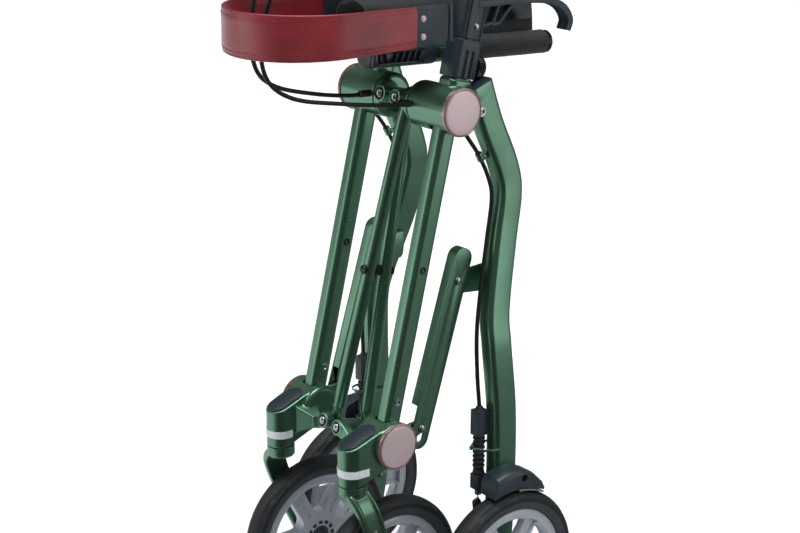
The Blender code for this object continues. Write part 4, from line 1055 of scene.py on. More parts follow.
def lower_side(side, tag):
    head = "caster_head_" + tag
    depth = 0.0115 if side < 0 else 0.0342
    eye_centre = HINGE_LOW

    def casting(bm):
        plan = [(CASTER.x + 0.0188, LOWER.y - 0.0074), (CASTER.x - 0.0165, LOWER.y - 0.0074)]
        for i in range(33):
            turn = math.pi + math.pi * i / 32
            plan.append((CASTER.x + 0.0165 * math.cos(turn), CASTER.y + 0.0165 * math.sin(turn)))
        rings = []
        for share in (0.0, 1.0):
            ring = []
            for x, y in plan:
                low = CASTER.z + max(y + 0.1250, 0.0) * 0.55
                ring.append(Vector((x, y, low + (top_height(y) - low) * share)))
            rings.append(ring)
        loft(bm, rings)
        lathe(bm, [(0.0470, 0.0100), (0.0470, 0.0225), (0.0500, HUB_R), (HUB_FACE_X, HUB_R),
                   (HUB_FACE_X, 0.0100)], LOWER)
        for x in (0.0735, 0.0785):
            rod(bm, (x - 0.0006, LINK_LOW.y, LINK_LOW.z), (x, LINK_LOW.y, LINK_LOW.z), 0.0085)
        hull(bm, circle((0.0735, LINK_LOW.y, LINK_LOW.z), X_AXIS, 0.0085, 32)
             + circle((0.0785, LINK_LOW.y, LINK_LOW.z), X_AXIS, 0.0085, 32)
             + circle((0.0735, -0.0700, 0.2735), X_AXIS, 0.0120, 32)
             + circle((0.0785, -0.0700, 0.2735), X_AXIS, 0.0120, 32))
        near = []
        for reach in (0.0010, 0.0108):
            near += circle(eye_centre + BRACE_AXIS * reach + X_AXIS * 0.0015, BRACE_AXIS, 0.0086, 32)
        middle = [Vector((0.0340, y, z)) for y in (-0.1140, -0.1010) for z in (0.2600, 0.2730)]
        root = [Vector((0.0540, y, z)) for y in (-0.1260, -0.0980) for z in (0.2500, 0.2830)]
        hull(bm, near + middle)
        hull(bm, middle + root)
        rod(bm, eye_centre + BRACE_AXIS * 0.0002, eye_centre + BRACE_AXIS * depth, 0.0096)

    def counterbore(bm):
        rod(bm, eye_centre - BRACE_AXIS * 0.0100, eye_centre + BRACE_AXIS * 0.0032, 0.0070)

    def bore(bm):
        rod(bm, LOWER + X_AXIS * 0.0535, LOWER + X_AXIS * 0.0950, BORE_R, 64)

    def slot(bm):
        hub_slot(bm, LOWER, -LEG_DIR, 0.045)

    def stem_hole(bm):
        rod(bm, CASTER - Z_AXIS * 0.0040, CASTER + Z_AXIS * 0.0300, 0.0078, 40)

    ob = piece("hub_lower_" + tag, head, "green", casting, side,
               cut=[counterbore, bore, slot, stem_hole], cast=0.0008,
               stands_for=["lower_hub_" + tag], soften=7)
    hub_cap("hub_lower_cap_" + tag, head, LOWER, side, "lower_hub_cap_" + tag)
    hinge_screw("hinge_lower_screw_" + tag, head, eye_centre, side)

    def hinge_pin(bm):
        rod(bm, eye_centre + BRACE_AXIS * 0.0040, eye_centre + BRACE_AXIS * (depth + 0.0142), 0.0026, 24)

    piece("hinge_lower_pin_" + tag, head, "dark_steel", hinge_pin, side)

    def rivet(bm):
        lathe(bm, [(-0.0045, 0.0010), (-0.0045, 0.0026), (0.0006, 0.0026), (0.0006, 0.0050),
                   (0.0012, 0.0048), (0.0020, 0.0038), (0.0025, 0.0022), (0.0026, 0.0008)],
              LINK_LOW, count=40)

    piece("link_rivet_lower_" + tag, head, "steel", rivet, side)

    def band(bm):
        rows = []
        for z in [CASTER.z + 0.0118 + 0.0013 * k for k in range(8)]:
            row = [Vector((CASTER.x - 0.0162, CASTER.y + 0.0060, z))]
            for i in range(29):
                turn = math.pi + math.pi * i / 28
                row.append(Vector((
                    CASTER.x + 0.0168 * math.cos(turn), CASTER.y + 0.0168 * math.sin(turn), z,
                )))
            for i in range(1, 6):
                row.append(Vector((CASTER.x + 0.0170 + 0.0006 * i, CASTER.y + 0.0022 * i, z)))
            rows.append([bm.verts.new(p) for p in row])
        for low, high in zip(rows, rows[1:]):
            for i in range(len(low) - 1):
                bm.faces.new((low[i], low[i + 1], high[i + 1], high[i]))

    piece("reflector_" + tag, head, "tape", band, side, wrap=ob, smooth=60.0)

    def seal(bm):
        lathe(bm, [(-0.0006, 0.0120), (-0.0006, 0.0150), (0.0006, 0.0150), (0.0006, 0.0120)], CASTER, Z_AXIS,
              64, True)

    piece("caster_seal_" + tag, head, "black", seal, side)
    top_inlay(ob, side, tag)

    caster = "caster_" + tag

    def fork(bm):
        lathe(bm, [(-0.0142, 0.0060), (-0.0142, 0.0150), (-0.0122, 0.0165), (-0.0008, 0.0165),
                   (-0.0008, 0.0060)], CASTER, Z_AXIS)
        path = smooth_path((
            (SIDE_X, CASTER.y + 0.001, CASTER.z - 0.0095),
            (SIDE_X + 0.012, CASTER.y + 0.001, CASTER.z - 0.0150),
            (SIDE_X + 0.0225, CASTER.y + 0.006, CASTER.z - 0.0330),
            (SIDE_X + 0.0225, CASTER.y + 0.022, CASTER.z - 0.0780),
            (SIDE_X + 0.0225, FRONT_WHEEL.y, FRONT_WHEEL.z - 0.004),
        ), 10)
        rings = []
        for i, point in enumerate(path):
            share = i / (len(path) - 1)
            along = (path[min(i + 1, len(path) - 1)] - path[max(i - 1, 0)]).normalized()
            wide = (Y_AXIS - along * along.y).normalized()
            thick = along.cross(wide)
            half = 0.0155 - 0.003 * share
            ridge = 0.0042 + 0.0010 * min(share * 6.0, 1.0)
            shape = [(half, -0.0030), (half, 0.0022), (half - 0.0020, ridge), (half - 0.0042, ridge),
                     (half - 0.0062, 0.0034), (-half + 0.0062, 0.0034), (-half + 0.0042, ridge),
                     (-half + 0.0020, ridge), (-half, 0.0022), (-half, -0.0030),
                     (-half + 0.0016, -0.0042), (half - 0.0016, -0.0042)]
            rings.append([point + wide * a + thick * b for a, b in shape])
        loft(bm, rings)
        rod(bm, FRONT_WHEEL + X_AXIS * 0.0182, FRONT_WHEEL + X_AXIS * 0.0268, 0.0122)

    def window(bm):
        centre = Vector((SIDE_X + 0.0225, CASTER.y + 0.0180, CASTER.z - 0.0680))
        down = Vector((0.0, 0.30, -0.954))
        slab(bm, rounded(0.0052, 0.0165, 0.0051, 8), centre, X_AXIS, down, 0.0400)

    def stem(bm):
        rod(bm, CASTER - Z_AXIS * 0.0020, CASTER + Z_AXIS * 0.0285, 0.0070, 40)

    def axle(bm):
        rod(bm, FRONT_WHEEL + X_AXIS * 0.0118, FRONT_WHEEL + X_AXIS * 0.0190, 0.0085, 40)

    piece("fork_" + tag, caster, "green", fork, side, cut=[window], cast=0.0007, soften=5,
          stands_for=["caster_fork_" + tag])
    piece("fork_stem_" + tag, caster, "dark_steel", stem, side)
    piece("fork_axle_" + tag, caster, "dark_steel", axle, side)

    def axle_bolt(bm):
        hex_head(bm, FRONT_WHEEL + X_AXIS * 0.0266, X_AXIS, 0.0070, 0.0040)

    piece("fork_bolt_" + tag, caster, "steel", axle_bolt, side)

    wheel("front", tag, side, FRONT_WHEEL)
    wheel("rear", tag, side, REAR_WHEEL)


def top_inlay(target, side, tag):
    """Black stadium-shaped inlay let into the sloping top of a caster housing."""
    normal = X_AXIS.cross(TOP_SLOPE)
    middle = Vector((SIDE_X, -0.1280, top_height(-0.1280)))

    def inlay(bm):
        slab(bm, rounded(0.0125, 0.0234, 0.0124, 12), middle, normal, TOP_SLOPE, 0.0030)
        slab(bm, rounded(0.0104, 0.0213, 0.0103, 12), middle + normal * 0.0004, normal, TOP_SLOPE, 0.0030)

    piece("hub_inlay_" + tag, "caster_head_" + tag, "black", inlay, side, bevel=0.0004)


# ------------------------------------------------------------- links, braces
def link_side(side, tag):
    body = "link_" + tag
    down = (LINK_LOW - LINK_TOP).normalized()
    aside = X_AXIS.cross(down)
    length = (LINK_LOW - LINK_TOP).length
    half = 0.0130
    tail = -0.0385
    foot = length + 0.0245
    front = 1.0 if aside.y < 0 else -1.0

    def at(x, a, s):
        return Vector((x, LINK_TOP.y, LINK_TOP.z)) + aside * a + down * s

    def channel(bm):
        outline = []
        for middle, first in ((tail + half, 180.0), (foot - half, 0.0)):
            for i in range(25):
                turn = math.radians(first + 180.0 * i / 24.0)
                outline.append((half * math.cos(turn), middle + half * math.sin(turn)))
        loft(bm, [[at(x, a, s) for a, s in outline] for x in (0.0806, 0.0830)])

    def flange(bm):
        outer = []
        inner = []
        for i in range(13):
            turn = math.radians(90.0 * i / 12.0)
            for edge, reach in ((outer, half), (inner, half - 0.0020)):
                edge.append((reach * math.sin(turn), tail + half - reach * math.cos(turn)))
        outer.append((half, length - 0.0260))
        inner.append((half - 0.0020, length - 0.0260))
        loft(bm, [[at(x, front * a, s) for a, s in outer + inner[::-1]] for x in (0.0694, 0.0826)])

    def holes(bm):
        rod(bm, at(0.0700, 0, 0), at(0.0900, 0, 0), 0.0034, 40)
        loft(bm, [[at(x, a, length + 0.0058 + b) for a, b in rounded(0.0040, 0.0100, 0.0039, 6)]
                  for x in (0.0700, 0.0900)])

    piece("link_" + tag, body, "green", channel, side, add=[flange], cut=[holes], bevel=0.0005,
          stands_for=["side_link_" + tag])


def brace(letter, side, body, foot_body):
    """A tube hinged at one upper eye, with its foot sliding in its lower end."""
    depth = BRACE_DEPTH[letter]
    top = Vector((HINGE_X * side, HINGE_TOP.y, HINGE_TOP.z)) + BRACE_AXIS * depth
    low = Vector((-HINGE_X * side, HINGE_LOW.y, HINGE_LOW.z)) + BRACE_AXIS * depth
    along = (low - top).normalized()
    length = (low - top).length
    aside = along.cross(BRACE_AXIS)

    def section(spread, thin):
        """A round tube's section, flattened towards its eye."""
        return [
            (math.cos(t) * BRACE_R * spread, math.sin(t) * BRACE_R * thin)
            for t in (2.0 * math.pi * k / 40 for k in range(40))
        ]

    def pipe(bm):
        rings = []
        for s, spread, thin in (
            (-0.0060, 0.55, 0.50), (-0.0045, 0.85, 0.70), (0.0, 1.12, 0.82), (0.0080, 1.12, 0.82),
            (0.0160, 1.06, 0.92), (0.0260, 1.0, 1.0), (length - 0.0180, 1.0, 1.0),
            (length - 0.0166, 0.97, 0.97), (length - 0.0160, 0.90, 0.90),
        ):
            rings.append([top + along * s + aside * a + BRACE_AXIS * b for a, b in section(spread, thin)])
        loft(bm, rings)

    def bore(bm):
        rod(bm, top + along * (length - 0.0400), top + along * length, 0.0058, 40)

    def eye_hole(bm):
        rod(bm, top - BRACE_AXIS * 0.0200, top + BRACE_AXIS * 0.0200, 0.0034, 32)

    piece("brace_tube_" + letter, body, "green", pipe, cut=[bore, eye_hole],
          stands_for=["brace_" + letter])

    def foot(bm):
        rings = []
        for s, spread, thin in (
            (length - 0.0900, 0.70, 0.70), (length - 0.0150, 0.70, 0.70), (length - 0.0115, 0.95, 0.62),
            (length - 0.0060, 1.08, 0.60), (length + 0.0060, 1.08, 0.60), (length + 0.0105, 0.80, 0.56),
            (length + 0.0122, 0.45, 0.50),
        ):
            rings.append([top + along * s + aside * a + BRACE_AXIS * b for a, b in section(spread, thin)])
        loft(bm, rings)

    def slot(bm):
        flat = rounded(0.0046, 0.0078, 0.0045)
        loft(bm, [[low + BRACE_AXIS * lift + X_AXIS * a + along * b for a, b in flat]
                  for lift in (-0.02, 0.02)])

    piece("brace_end_" + letter, foot_body, "green", foot, cut=[slot],
          stands_for=["brace_foot_" + letter])

    crossing = top + along * (length * 0.5219)
    if letter == "a":
        def bolt(bm):
            hex_head(bm, crossing - BRACE_AXIS * 0.0072, -BRACE_AXIS, 0.0058, 0.0030)
            rod(bm, crossing - BRACE_AXIS * 0.0072, crossing + BRACE_AXIS * 0.0070, 0.0030, 32)

        def spacer(bm):
            lathe(bm, [(0.0062, 0.0030), (0.0062, 0.0062), (0.0150, 0.0062), (0.0150, 0.0030)],
                  crossing, BRACE_AXIS, 48, True)

        piece("brace_bolt", body, "gloss", bolt)
        piece("brace_spacer", body, "gloss", spacer)
    else:
        def nut(bm):
            hex_head(bm, crossing + BRACE_AXIS * 0.0070, BRACE_AXIS, 0.0058, 0.0036)

        piece("brace_nut", body, "dark_steel", nut)


# -------------------------------------------------------- posts and handles
def handle_side(side, tag):
    body = "side_" + tag
    knob_rise = KNOB_AXIS.cross(X_AXIS)

    def collar(bm):
        swept(bm, [post_point(z) for z in (0.6770, 0.6778, 0.7176, 0.7184)], lambda share: rounded(
            0.0140 - (0.0006 if share in (0.0, 1.0) else 0.0),
            0.0172 - (0.0006 if share in (0.0, 1.0) else 0.0), 0.0060, 8))

    def post_bore(bm):
        rod(bm, post_point(0.6700), post_point(0.9000), POST_R + 0.0006, 64)

    def collar_cut(bm):
        # the open-bottomed recess in the outer face, either side of a rib
        for start, end in ((-0.0062, -0.0022), (0.0030, 0.0062)):
            corners = [(start, -0.0300), (end, -0.0300), (end, 0.0110), (start, 0.0110)]
            shape = soft_corners(corners, 0.0020, 4)
            slab(bm, shape, post_point(0.6960) + X_AXIS * 0.0140, X_AXIS, POST_DIR, 0.0044)

    piece("collar_" + tag, body, "black", collar, side, cut=[post_bore, collar_cut], bevel=0.0004,
          stands_for=["post_collar_" + tag])

    def bracket(bm):
        swept(bm, [post_point(z) for z in (0.7189, 0.7198, 0.8138, 0.8150)], lambda share: rounded(
            0.0135 - (0.0007 if share in (0.0, 1.0) else 0.0),
            0.0160 - (0.0007 if share in (0.0, 1.0) else 0.0), 0.0045, 8))

    def bracket_cut(bm):
        for a, wide, deep in ((-0.0106, 0.0030, 0.0030), (0.0100, 0.0016, 0.0020)):
            slab(bm, rounded(wide / 2, 0.0600, wide / 2.2, 3),
                 post_point(0.7650) + X_AXIS * 0.0135 + KNOB_AXIS * a, X_AXIS, POST_DIR, deep)

    piece("bracket_" + tag, body, "black", bracket, side, cut=[post_bore, bracket_cut], bevel=0.0004,
          stands_for=["post_bracket_" + tag])

    def button(bm):
        dome(bm, post_point(0.7330) + X_AXIS * 0.0137 + KNOB_AXIS * 0.0030, X_AXIS, 0.0036, 0.0014)

    piece("bracket_rivet_" + tag, body, "steel", button, side)

    def hook(bm):
        path = smooth_path((
            (0.0740, 0.0330, 0.7560), (0.0760, 0.0800, 0.7560), (0.0780, 0.1280, 0.7530),
            (0.0780, 0.1560, 0.7440), (0.0780, 0.1690, 0.7280), (0.0780, 0.1660, 0.7150),
        ), 10)
        shape = [(0.0085, -0.0038), (0.0085, 0.0038), (0.0062, 0.0038), (0.0062, 0.0014), (-0.0062, 0.0014),
                 (-0.0062, 0.0038), (-0.0085, 0.0038), (-0.0085, -0.0038)]
        swept(bm, path, shape)

    def struts(bm):
        for start, end in (((0.0740, 0.0300, 0.7300), (0.0760, 0.0560, 0.7340)),
                           ((0.0760, 0.0545, 0.7310), (0.0762, 0.0640, 0.7550)),
                           ((0.0765, 0.0640, 0.7330), (0.0768, 0.0860, 0.7550)),
                           ((0.0760, 0.0540, 0.7315), (0.0765, 0.0660, 0.7335))):
            swept(bm, [Vector(start), Vector(end)], rounded(0.0060, 0.0020, 0.0012, 2))

    piece("bag_hook_" + tag, body, "black", hook, side, bevel=0.0006)
    piece("bag_hook_struts_" + tag, body, "black", struts, side, bevel=0.0004)

    def knob(bm):
        rings = []
        for along, radius, flute in (
            (0.0010, 0.0100, 0.0), (0.0018, 0.0136, 0.0006), (0.0026, 0.0140, 0.0009),
            (0.0104, 0.0140, 0.0009), (0.0116, 0.0134, 0.0006), (0.0126, 0.0116, 0.0), (0.0120, 0.0096, 0.0),
            (0.0112, 0.0040, 0.0),
        ):
            ring = []
            for i in range(144):
                turn = 2.0 * math.pi * i / 144
                reach = radius - flute * (0.5 + 0.5 * math.cos(36 * turn))
                ring.append(KNOB + KNOB_AXIS * along
                            + (X_AXIS * math.cos(turn) + knob_rise * math.sin(turn)) * reach)
            rings.append(ring)
        loft(bm, rings)

    piece("knob_" + tag, "knob_" + tag, "gloss", knob, side, stands_for=["height_knob_" + tag])

    handle = "handle_" + tag
    curve = smooth_path((
        post_point(0.8650), post_point(0.8850), (POST_X, 0.0740, GRIP_Z - 0.0080),
        (POST_X, 0.0860, GRIP_Z), (POST_X, 0.1012, GRIP_Z),
    ), 10)

    def post(bm):
        tube(bm, [post_point(0.7000)] + curve, POST_R, 48)

    def lever_lug(bm):
        block(bm, (POST_X - 0.0030, 0.0800, 0.8820), (POST_X + 0.0030, 0.0920, 0.9060))

    def lug_hole(bm):
        rod(bm, LEVER - X_AXIS * 0.01, LEVER + X_AXIS * 0.01, 0.0026, 24)

    piece("post_" + tag, handle, "green", post, side, add=[lever_lug], cut=[lug_hole],
          stands_for=["handle_post_" + tag])

    def grip(bm):
        profile = [(0.1023, 0.0107), (0.1024, 0.0138), (0.1032, 0.0150), (0.1058, 0.0152), (0.1068, 0.0146)]
        for i in range(29):
            share = i / 28.0
            wave = 0.0132 + 0.0022 * math.sin(math.pi * share) + 0.0010 * math.cos(4 * math.pi * share)
            profile.append((0.1072 + 0.1020 * share, wave - (0.0004 if i % 2 else 0.0)))
        profile += [(0.2110, 0.0148), (0.2135, 0.0150), (0.2152, 0.0138), (0.2160, 0.0110), (0.2163, 0.0040)]
        lathe(bm, profile, (POST_X, 0.0, GRIP_Z), Y_AXIS, 72)

    piece("handle_grip_" + tag, handle, "grip", grip, side, stands_for=["grip_" + tag], smooth=50.0)

    def clamp_band(bm):
        lathe(bm, [(0.0935, 0.0106), (0.0935, 0.0128), (0.0942, 0.0134), (0.1002, 0.0134), (0.1008, 0.0128),
                   (0.1008, 0.0106)], (POST_X, 0.0, GRIP_Z), Y_AXIS, 64, True)

    piece("lever_clamp_" + tag, handle, "black", clamp_band, side)

    lever_body = "lever_" + tag

    def lever(bm):
        path = smooth_path((
            (POST_X, 0.0940, 0.8840), (POST_X, 0.1150, 0.8760),
            (POST_X, 0.1550, 0.8740), (POST_X, 0.1950, 0.8800),
        ), 10)
        swept(bm, path, lambda share: rounded(0.0070 - 0.0010 * share, 0.0030, 0.0024, 5))
        for x in (-0.0068, 0.0036):
            block(bm, (POST_X + x, 0.0810, 0.8815), (POST_X + x + 0.0032, 0.0970, 0.8905))

    def lever_pin(bm):
        lathe(bm, [(-0.0076, 0.0006), (-0.0076, 0.0030), (-0.0070, 0.0034), (-0.0068, 0.0034),
                   (-0.0068, 0.0021),
                   (0.0068, 0.0021), (0.0068, 0.0034), (0.0070, 0.0034), (0.0076, 0.0030), (0.0076, 0.0006)],
              LEVER, count=40)

    piece("lever_" + tag, lever_body, "black", lever, side, bevel=0.0006,
          stands_for=["brake_lever_" + tag])
    piece("lever_pin_" + tag, lever_body, "steel", lever_pin, side)


def rail_side(side, tag):
    body = "side_" + tag

    def rail(bm):
        lathe(bm, [(0.0040, 0.0060), (0.0040, RAIL_R - 0.0006), (0.0044, RAIL_R), (RAIL_RUN - 0.0044, RAIL_R),
                   (RAIL_RUN - 0.0040, RAIL_R - 0.0006), (RAIL_RUN - 0.0040, 0.0060)],
              RAIL_FRONT, RAIL_AXIS, 64)

    def arm(bm):
        block(bm, (RAIL_FRONT.x, 0.0060, 0.6957), (POST_X - 0.0143, 0.0200, 0.7077))

    piece("rail_" + tag, body, "green", rail, side, add=[arm], stands_for=["seat_rail_" + tag])

    def end_caps(bm):
        shape = [(0.0055, 0.0090), (0.0055, 0.0131), (0.0008, 0.0131), (0.0002, 0.0122), (0.0, 0.0090),
                 (0.0, 0.0020)]
        lathe(bm, shape, RAIL_FRONT, RAIL_AXIS, 64)
        lathe(bm, shape, RAIL_BACK, -RAIL_AXIS, 64)

    piece("rail_caps_" + tag, body, "gloss", end_caps, side)

    def shell(bm):
        lathe(bm, [(0.0070, 0.0127), (0.0070, 0.0136), (0.0920, 0.0136), (0.0920, 0.0127)],
              RAIL_FRONT, RAIL_AXIS, 64, True)

    def truss(bm):
        # open ribbed stiffener along the outer side of the rail's front half
        x = RAIL_FRONT.x + 0.0158
        up = RAIL_AXIS.cross(-X_AXIS)
        if up.z < 0.0:
            up = -up

        def at(along, height):
            return Vector((x, RAIL_FRONT.y, RAIL_FRONT.z)) + RAIL_AXIS * along + up * height

        for height in (-0.0068, 0.0068):
            swept(bm, [at(0.0040, height), at(0.0700, height)], rounded(0.0024, 0.0011, 0.0004, 2))
        swept(bm, [at(0.0030, -0.0079), at(0.0030, 0.0079)], rounded(0.0024, 0.0030, 0.0006, 2))
        for number in range(7):
            foot = 0.0120 + 0.0084 * number
            lean = 0.0046 if number > 1 else -0.0046
            swept(bm, [at(foot, -0.0066), at(foot + lean, 0.0066)], rounded(0.0020, 0.0009, 0.0004, 2))

    piece("rail_shell_" + tag, body, "black", shell, side)
    piece("rail_stiffener_" + tag, body, "gloss", truss, side, bevel=0.0003)

    def strap_plate(bm):
        outline = soft_corners([(-0.0100, 0.7205), (-0.0100, 0.7610), (-0.0560, 0.7620), (-0.0560, 0.7185)],
                               0.0025, 4)
        extruded(bm, outline, 0.0785, 0.0812)
        block(bm, (0.0700, -0.0110, 0.7260), (0.0800, -0.0080, 0.7560))

    def plate_edge(bm):
        edge = [(-0.0068, 0.7200), (-0.0022, 0.7200), (-0.0022, 0.7600), (-0.0068, 0.7610)]
        extruded(bm, soft_corners(edge, 0.0010, 3), 0.0760, 0.0808)

    def rivets(bm):
        for z in (0.7290, 0.7481):
            dome(bm, (0.0812, -0.0438, z), X_AXIS, 0.0036, 0.0016)

    piece("strap_end_" + tag, body, "black", strap_plate, side, bevel=0.0005,
          stands_for=["strap_plate_" + tag])
    piece("strap_end_bar_" + tag, body, "black", plate_edge, side, bevel=0.0004)
    piece("strap_rivets_" + tag, body, "rose", rivets, side)


# ---------------------------------------------------------------- soft goods
def strap_plan(count):
    """Plan of the backrest strap from its left end to its right, evenly spaced."""
    points = [Vector((STRAP_X, STRAP_END_Y + (STRAP_BEND_Y - STRAP_END_Y) * i / 12.0)) for i in range(13)]
    for i in range(1, 48):
        turn = math.pi * i / 48.0
        points.append(Vector((STRAP_X * math.cos(turn), STRAP_BEND_Y - STRAP_X * math.sin(turn))))
    points += [Vector((-p.x, p.y)) for p in points[12::-1]]
    lengths = [0.0]
    for a, b in zip(points, points[1:]):
        lengths.append(lengths[-1] + (b - a).length)
    plan = []
    k = 0
    for i in range(count):
        want = lengths[-1] * i / (count - 1)
        while k < len(lengths) - 2 and lengths[k + 1] < want:
            k += 1
        share = (want - lengths[k]) / (lengths[k + 1] - lengths[k])
        plan.append(points[k].lerp(points[k + 1], min(share, 1.0)))
    return plan


def strap_edges(share):
    sag = math.sin(math.pi * share) ** 0.8
    return 0.7205 - 0.0030 * sag, 0.7600 + 0.0030 * sag


def strap_place(plan, i, height, out):
    """A point of the strap: station, share of its height, and distance out."""
    ahead = plan[min(i + 1, len(plan) - 1)]
    behind = plan[max(i - 1, 0)]
    normal = (ahead - behind).normalized().orthogonal()
    low, high = strap_edges(i / (len(plan) - 1))
    drape = 0.0010 * noise.noise(Vector((plan[i].x * 22.0, plan[i].y * 22.0, height * 1.4)))
    reach = out + drape
    return Vector((plan[i].x + normal.x * reach, plan[i].y + normal.y * reach, low + (high - low) * height))


def strap():
    plan = strap_plan(220)

    def band(bm):
        rings = []
        for i in range(len(plan)):
            ring = []
            heights = [k / 20.0 for k in range(21)]
            for face, order in ((1.0, heights), (-1.0, heights[::-1])):
                for height in order:
                    edge = min(height, 1.0 - height)
                    body = 0.0013 + 0.0011 * min(edge / 0.16, 1.0) ** 0.5
                    if abs(edge - 0.10) < 0.03:
                        body -= 0.0005
                    if edge < 0.03:
                        body = 0.0012
                    ring.append(strap_place(plan, i, height, face * body))
            rings.append(ring)
        loft(bm, rings)

    def piping(bm):
        for height in (0.0, 1.0):
            tube(bm, [strap_place(plan, i, height, 0.0) for i in range(len(plan))], 0.0017, 12)

    def stitches(bm):
        for height in (0.10, 0.90):
            for i in range(2, len(plan) - 3, 2):
                start = strap_place(plan, i, height, 0.0021)
                end = strap_place(plan, i + 1, height, 0.0021)
                tube(bm, [start, start.lerp(end, 0.5), end], 0.00035, 6)

    band_ob = piece("strap_band", None, "leather", band, stands_for=["backrest_strap"], smooth=60.0)
    piping_ob = piece("strap_piping", None, "leather", piping, smooth=60.0)
    stitch_ob = piece("strap_stitches", None, "thread", stitches, smooth=60.0)
    for ob in (band_ob, piping_ob, stitch_ob):
        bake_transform(ob)


CLOTH_TOP = 0.7630


def seat():
    """The folded seat: a mesh sleeve round each rail and the cloth between them."""
    for side, tag in SIDES:
        def sleeve(bm):
            rings = []
            stations = 120
            for i in range(stations + 1):
                y = 0.0230 + (RAIL_BACK.y - 0.0075 - 0.0230) * i / stations
                core = rail_at(y)
                ring = []
                for k in range(48):
                    turn = math.radians(-62.0 + 304.0 * k / 47.0)
                    ruck = 0.0003 * noise.noise(Vector((y * 60.0, turn * 2.0, side)))
                    reach = RAIL_R + 0.0016 + ruck
                    ring.append(core + Vector((reach * math.cos(turn), 0.0, reach * math.sin(turn))))
                for k in range(47, -1, -1):
                    turn = math.radians(-62.0 + 304.0 * k / 47.0)
                    reach = RAIL_R + 0.0003
                    ring.append(core + Vector((reach * math.cos(turn), 0.0, reach * math.sin(turn))))
                rings.append(ring)
            loft(bm, rings)

        piece("seat_sleeve_" + tag, "side_" + tag, "fabric", sleeve, side, smooth=60.0)

    def cloth_point(share, y, lift=0.0):
        """Where the cloth runs: up from one rail, over, and down to the other."""
        swing = math.cos(math.pi * share)
        arch = math.sin(math.pi * share) ** 0.42
        ripple = noise.noise(Vector((share * 5.0, y * 26.0, 0.3))) * 0.0022 * math.sin(math.pi * share)
        x = (RAIL_FRONT.x - 0.0035) * swing * (1.0 - 0.10 * arch) + ripple
        base = rail_at(y).z + RAIL_R + 0.0012
        z = base + (CLOTH_TOP - base) * arch + 0.5 * ripple
        return Vector((x, y, z + lift))

    def cloth(bm):
        rows = []
        for i in range(73):
            y = -0.0780 + 0.2400 * i / 72
            rows.append([bm.verts.new(cloth_point(k / 80.0, y)) for k in range(81)])
        for low, high in zip(rows, rows[1:]):
            for k in range(80):
                bm.faces.new((low[k], low[k + 1], high[k + 1], high[k]))

    ob = place("seat_cloth", mesh_of("seat_cloth", cloth))
    change = ob.modifiers.new("thick", "SOLIDIFY")
    change.thickness = 0.0014
    freeze(ob)
    finished(ob, "fabric", 60.0)
    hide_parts("seat_sling")
    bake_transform(ob)
    run = sum(((cloth_point((k + 1) / 80.0, 0.0) - cloth_point(k / 80.0, 0.0)).length for k in range(80)))

    for first, tag in ((0, "l"), (60, "r")):
        def border(bm):
            out = 0.0012 if first == 0 else -0.0012
            rows = []
            for i in range(25):
                y = 0.1120 + 0.0490 * i / 24
                rows.append([bm.verts.new(cloth_point(k / 80.0, y) + X_AXIS * out)
                             for k in range(first + 1, first + 20)])
            for low, high in zip(rows, rows[1:]):
                for k in range(len(low) - 1):
                    bm.faces.new((low[k], low[k + 1], high[k + 1], high[k]))

        edge = place("seat_border_" + tag, mesh_of("seat_border_" + tag, border))
        change = edge.modifiers.new("thick", "SOLIDIFY")
        change.thickness = 0.0012
        freeze(edge)
        finished(edge, "vinyl", 60.0)
        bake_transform(edge)


CABLE_ROUTES = {
    "upper": (
        (POST_X - 0.016, 0.0780, 0.8840), (0.0440, 0.0100, 0.8880), (0.0300, -0.1000, 0.8560),
        (0.0160, -0.1800, 0.7950), (0.0100, -0.2010, 0.7350), (0.0100, -0.1970, 0.6920),
        (0.0160, -0.1680, 0.6680), (0.0240, -0.1100, 0.6560), (0.0340, -0.0560, 0.6490),
        (0.0370, -0.0268, 0.6475),
    ),
    "lower": (
        (0.0830, 0.0170, 0.6130), (0.0830, 0.0350, 0.5890), (0.0835, 0.0500, 0.5600),
        (0.0845, 0.0545, 0.5350), (0.0880, 0.0450, 0.4900), (0.0975, 0.0290, 0.4400),
        (0.1040, 0.0180, 0.3900), (0.1080, 0.0160, 0.3400), (0.1100, 0.0185, 0.2975),
    ),
}
DROOP = {"upper": (0.0, 0.0, 0.0, 0.0, 1.0, 1.0, 1.0, 0.4, 0.0, 0.0), "lower": (0.0,) * 9}


def cable(which, side, tag):
    slack = 0.0 if side > 0 else 0.0080
    points = [Vector(p) + Z_AXIS * slack * share for p, share in zip(CABLE_ROUTES[which], DROOP[which])]
    path = smooth_path(points, 16)

    def housing(bm):
        tube(bm, path, CABLE_R, 18)

    body = None if which == "upper" else "side_" + tag
    ob = piece("cable_" + which + "_" + tag, body, "cable", housing, side, smooth=60.0,
               stands_for=[which + "_cable_" + tag])
    if which == "upper":
        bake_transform(ob)


def grommet(side, tag):
    def sleeve(bm):
        route = ((0.0335, -0.0420, 0.6489), (0.0352, -0.0330, 0.6483), (0.0372, -0.0240, 0.6475))
        path = smooth_path(route, 6)
        tube(bm, path, 0.0040, 28)

    piece("cable_grommet_" + tag, "leg_" + tag, "grip", sleeve, side)


# -------------------------------------------------------------------- build
for side, tag in SIDES:
    upper_side(side, tag)
    rear_side(side, tag)
    lower_side(side, tag)
    link_side(side, tag)
    handle_side(side, tag)
    rail_side(side, tag)
    cable("upper", side, tag)
    cable("lower", side, tag)
    grommet(side, tag)
brace("a", 1, "brace_a", "brace_foot_a")
brace("b", -1, "brace_b", "brace_foot_b")
strap()
seat()


# -------------------------------------------------------------------- stage
CAMERA_AT = Vector((1.3727, -1.10515, 1.0112))
FLOOR_SIZE = 16.0


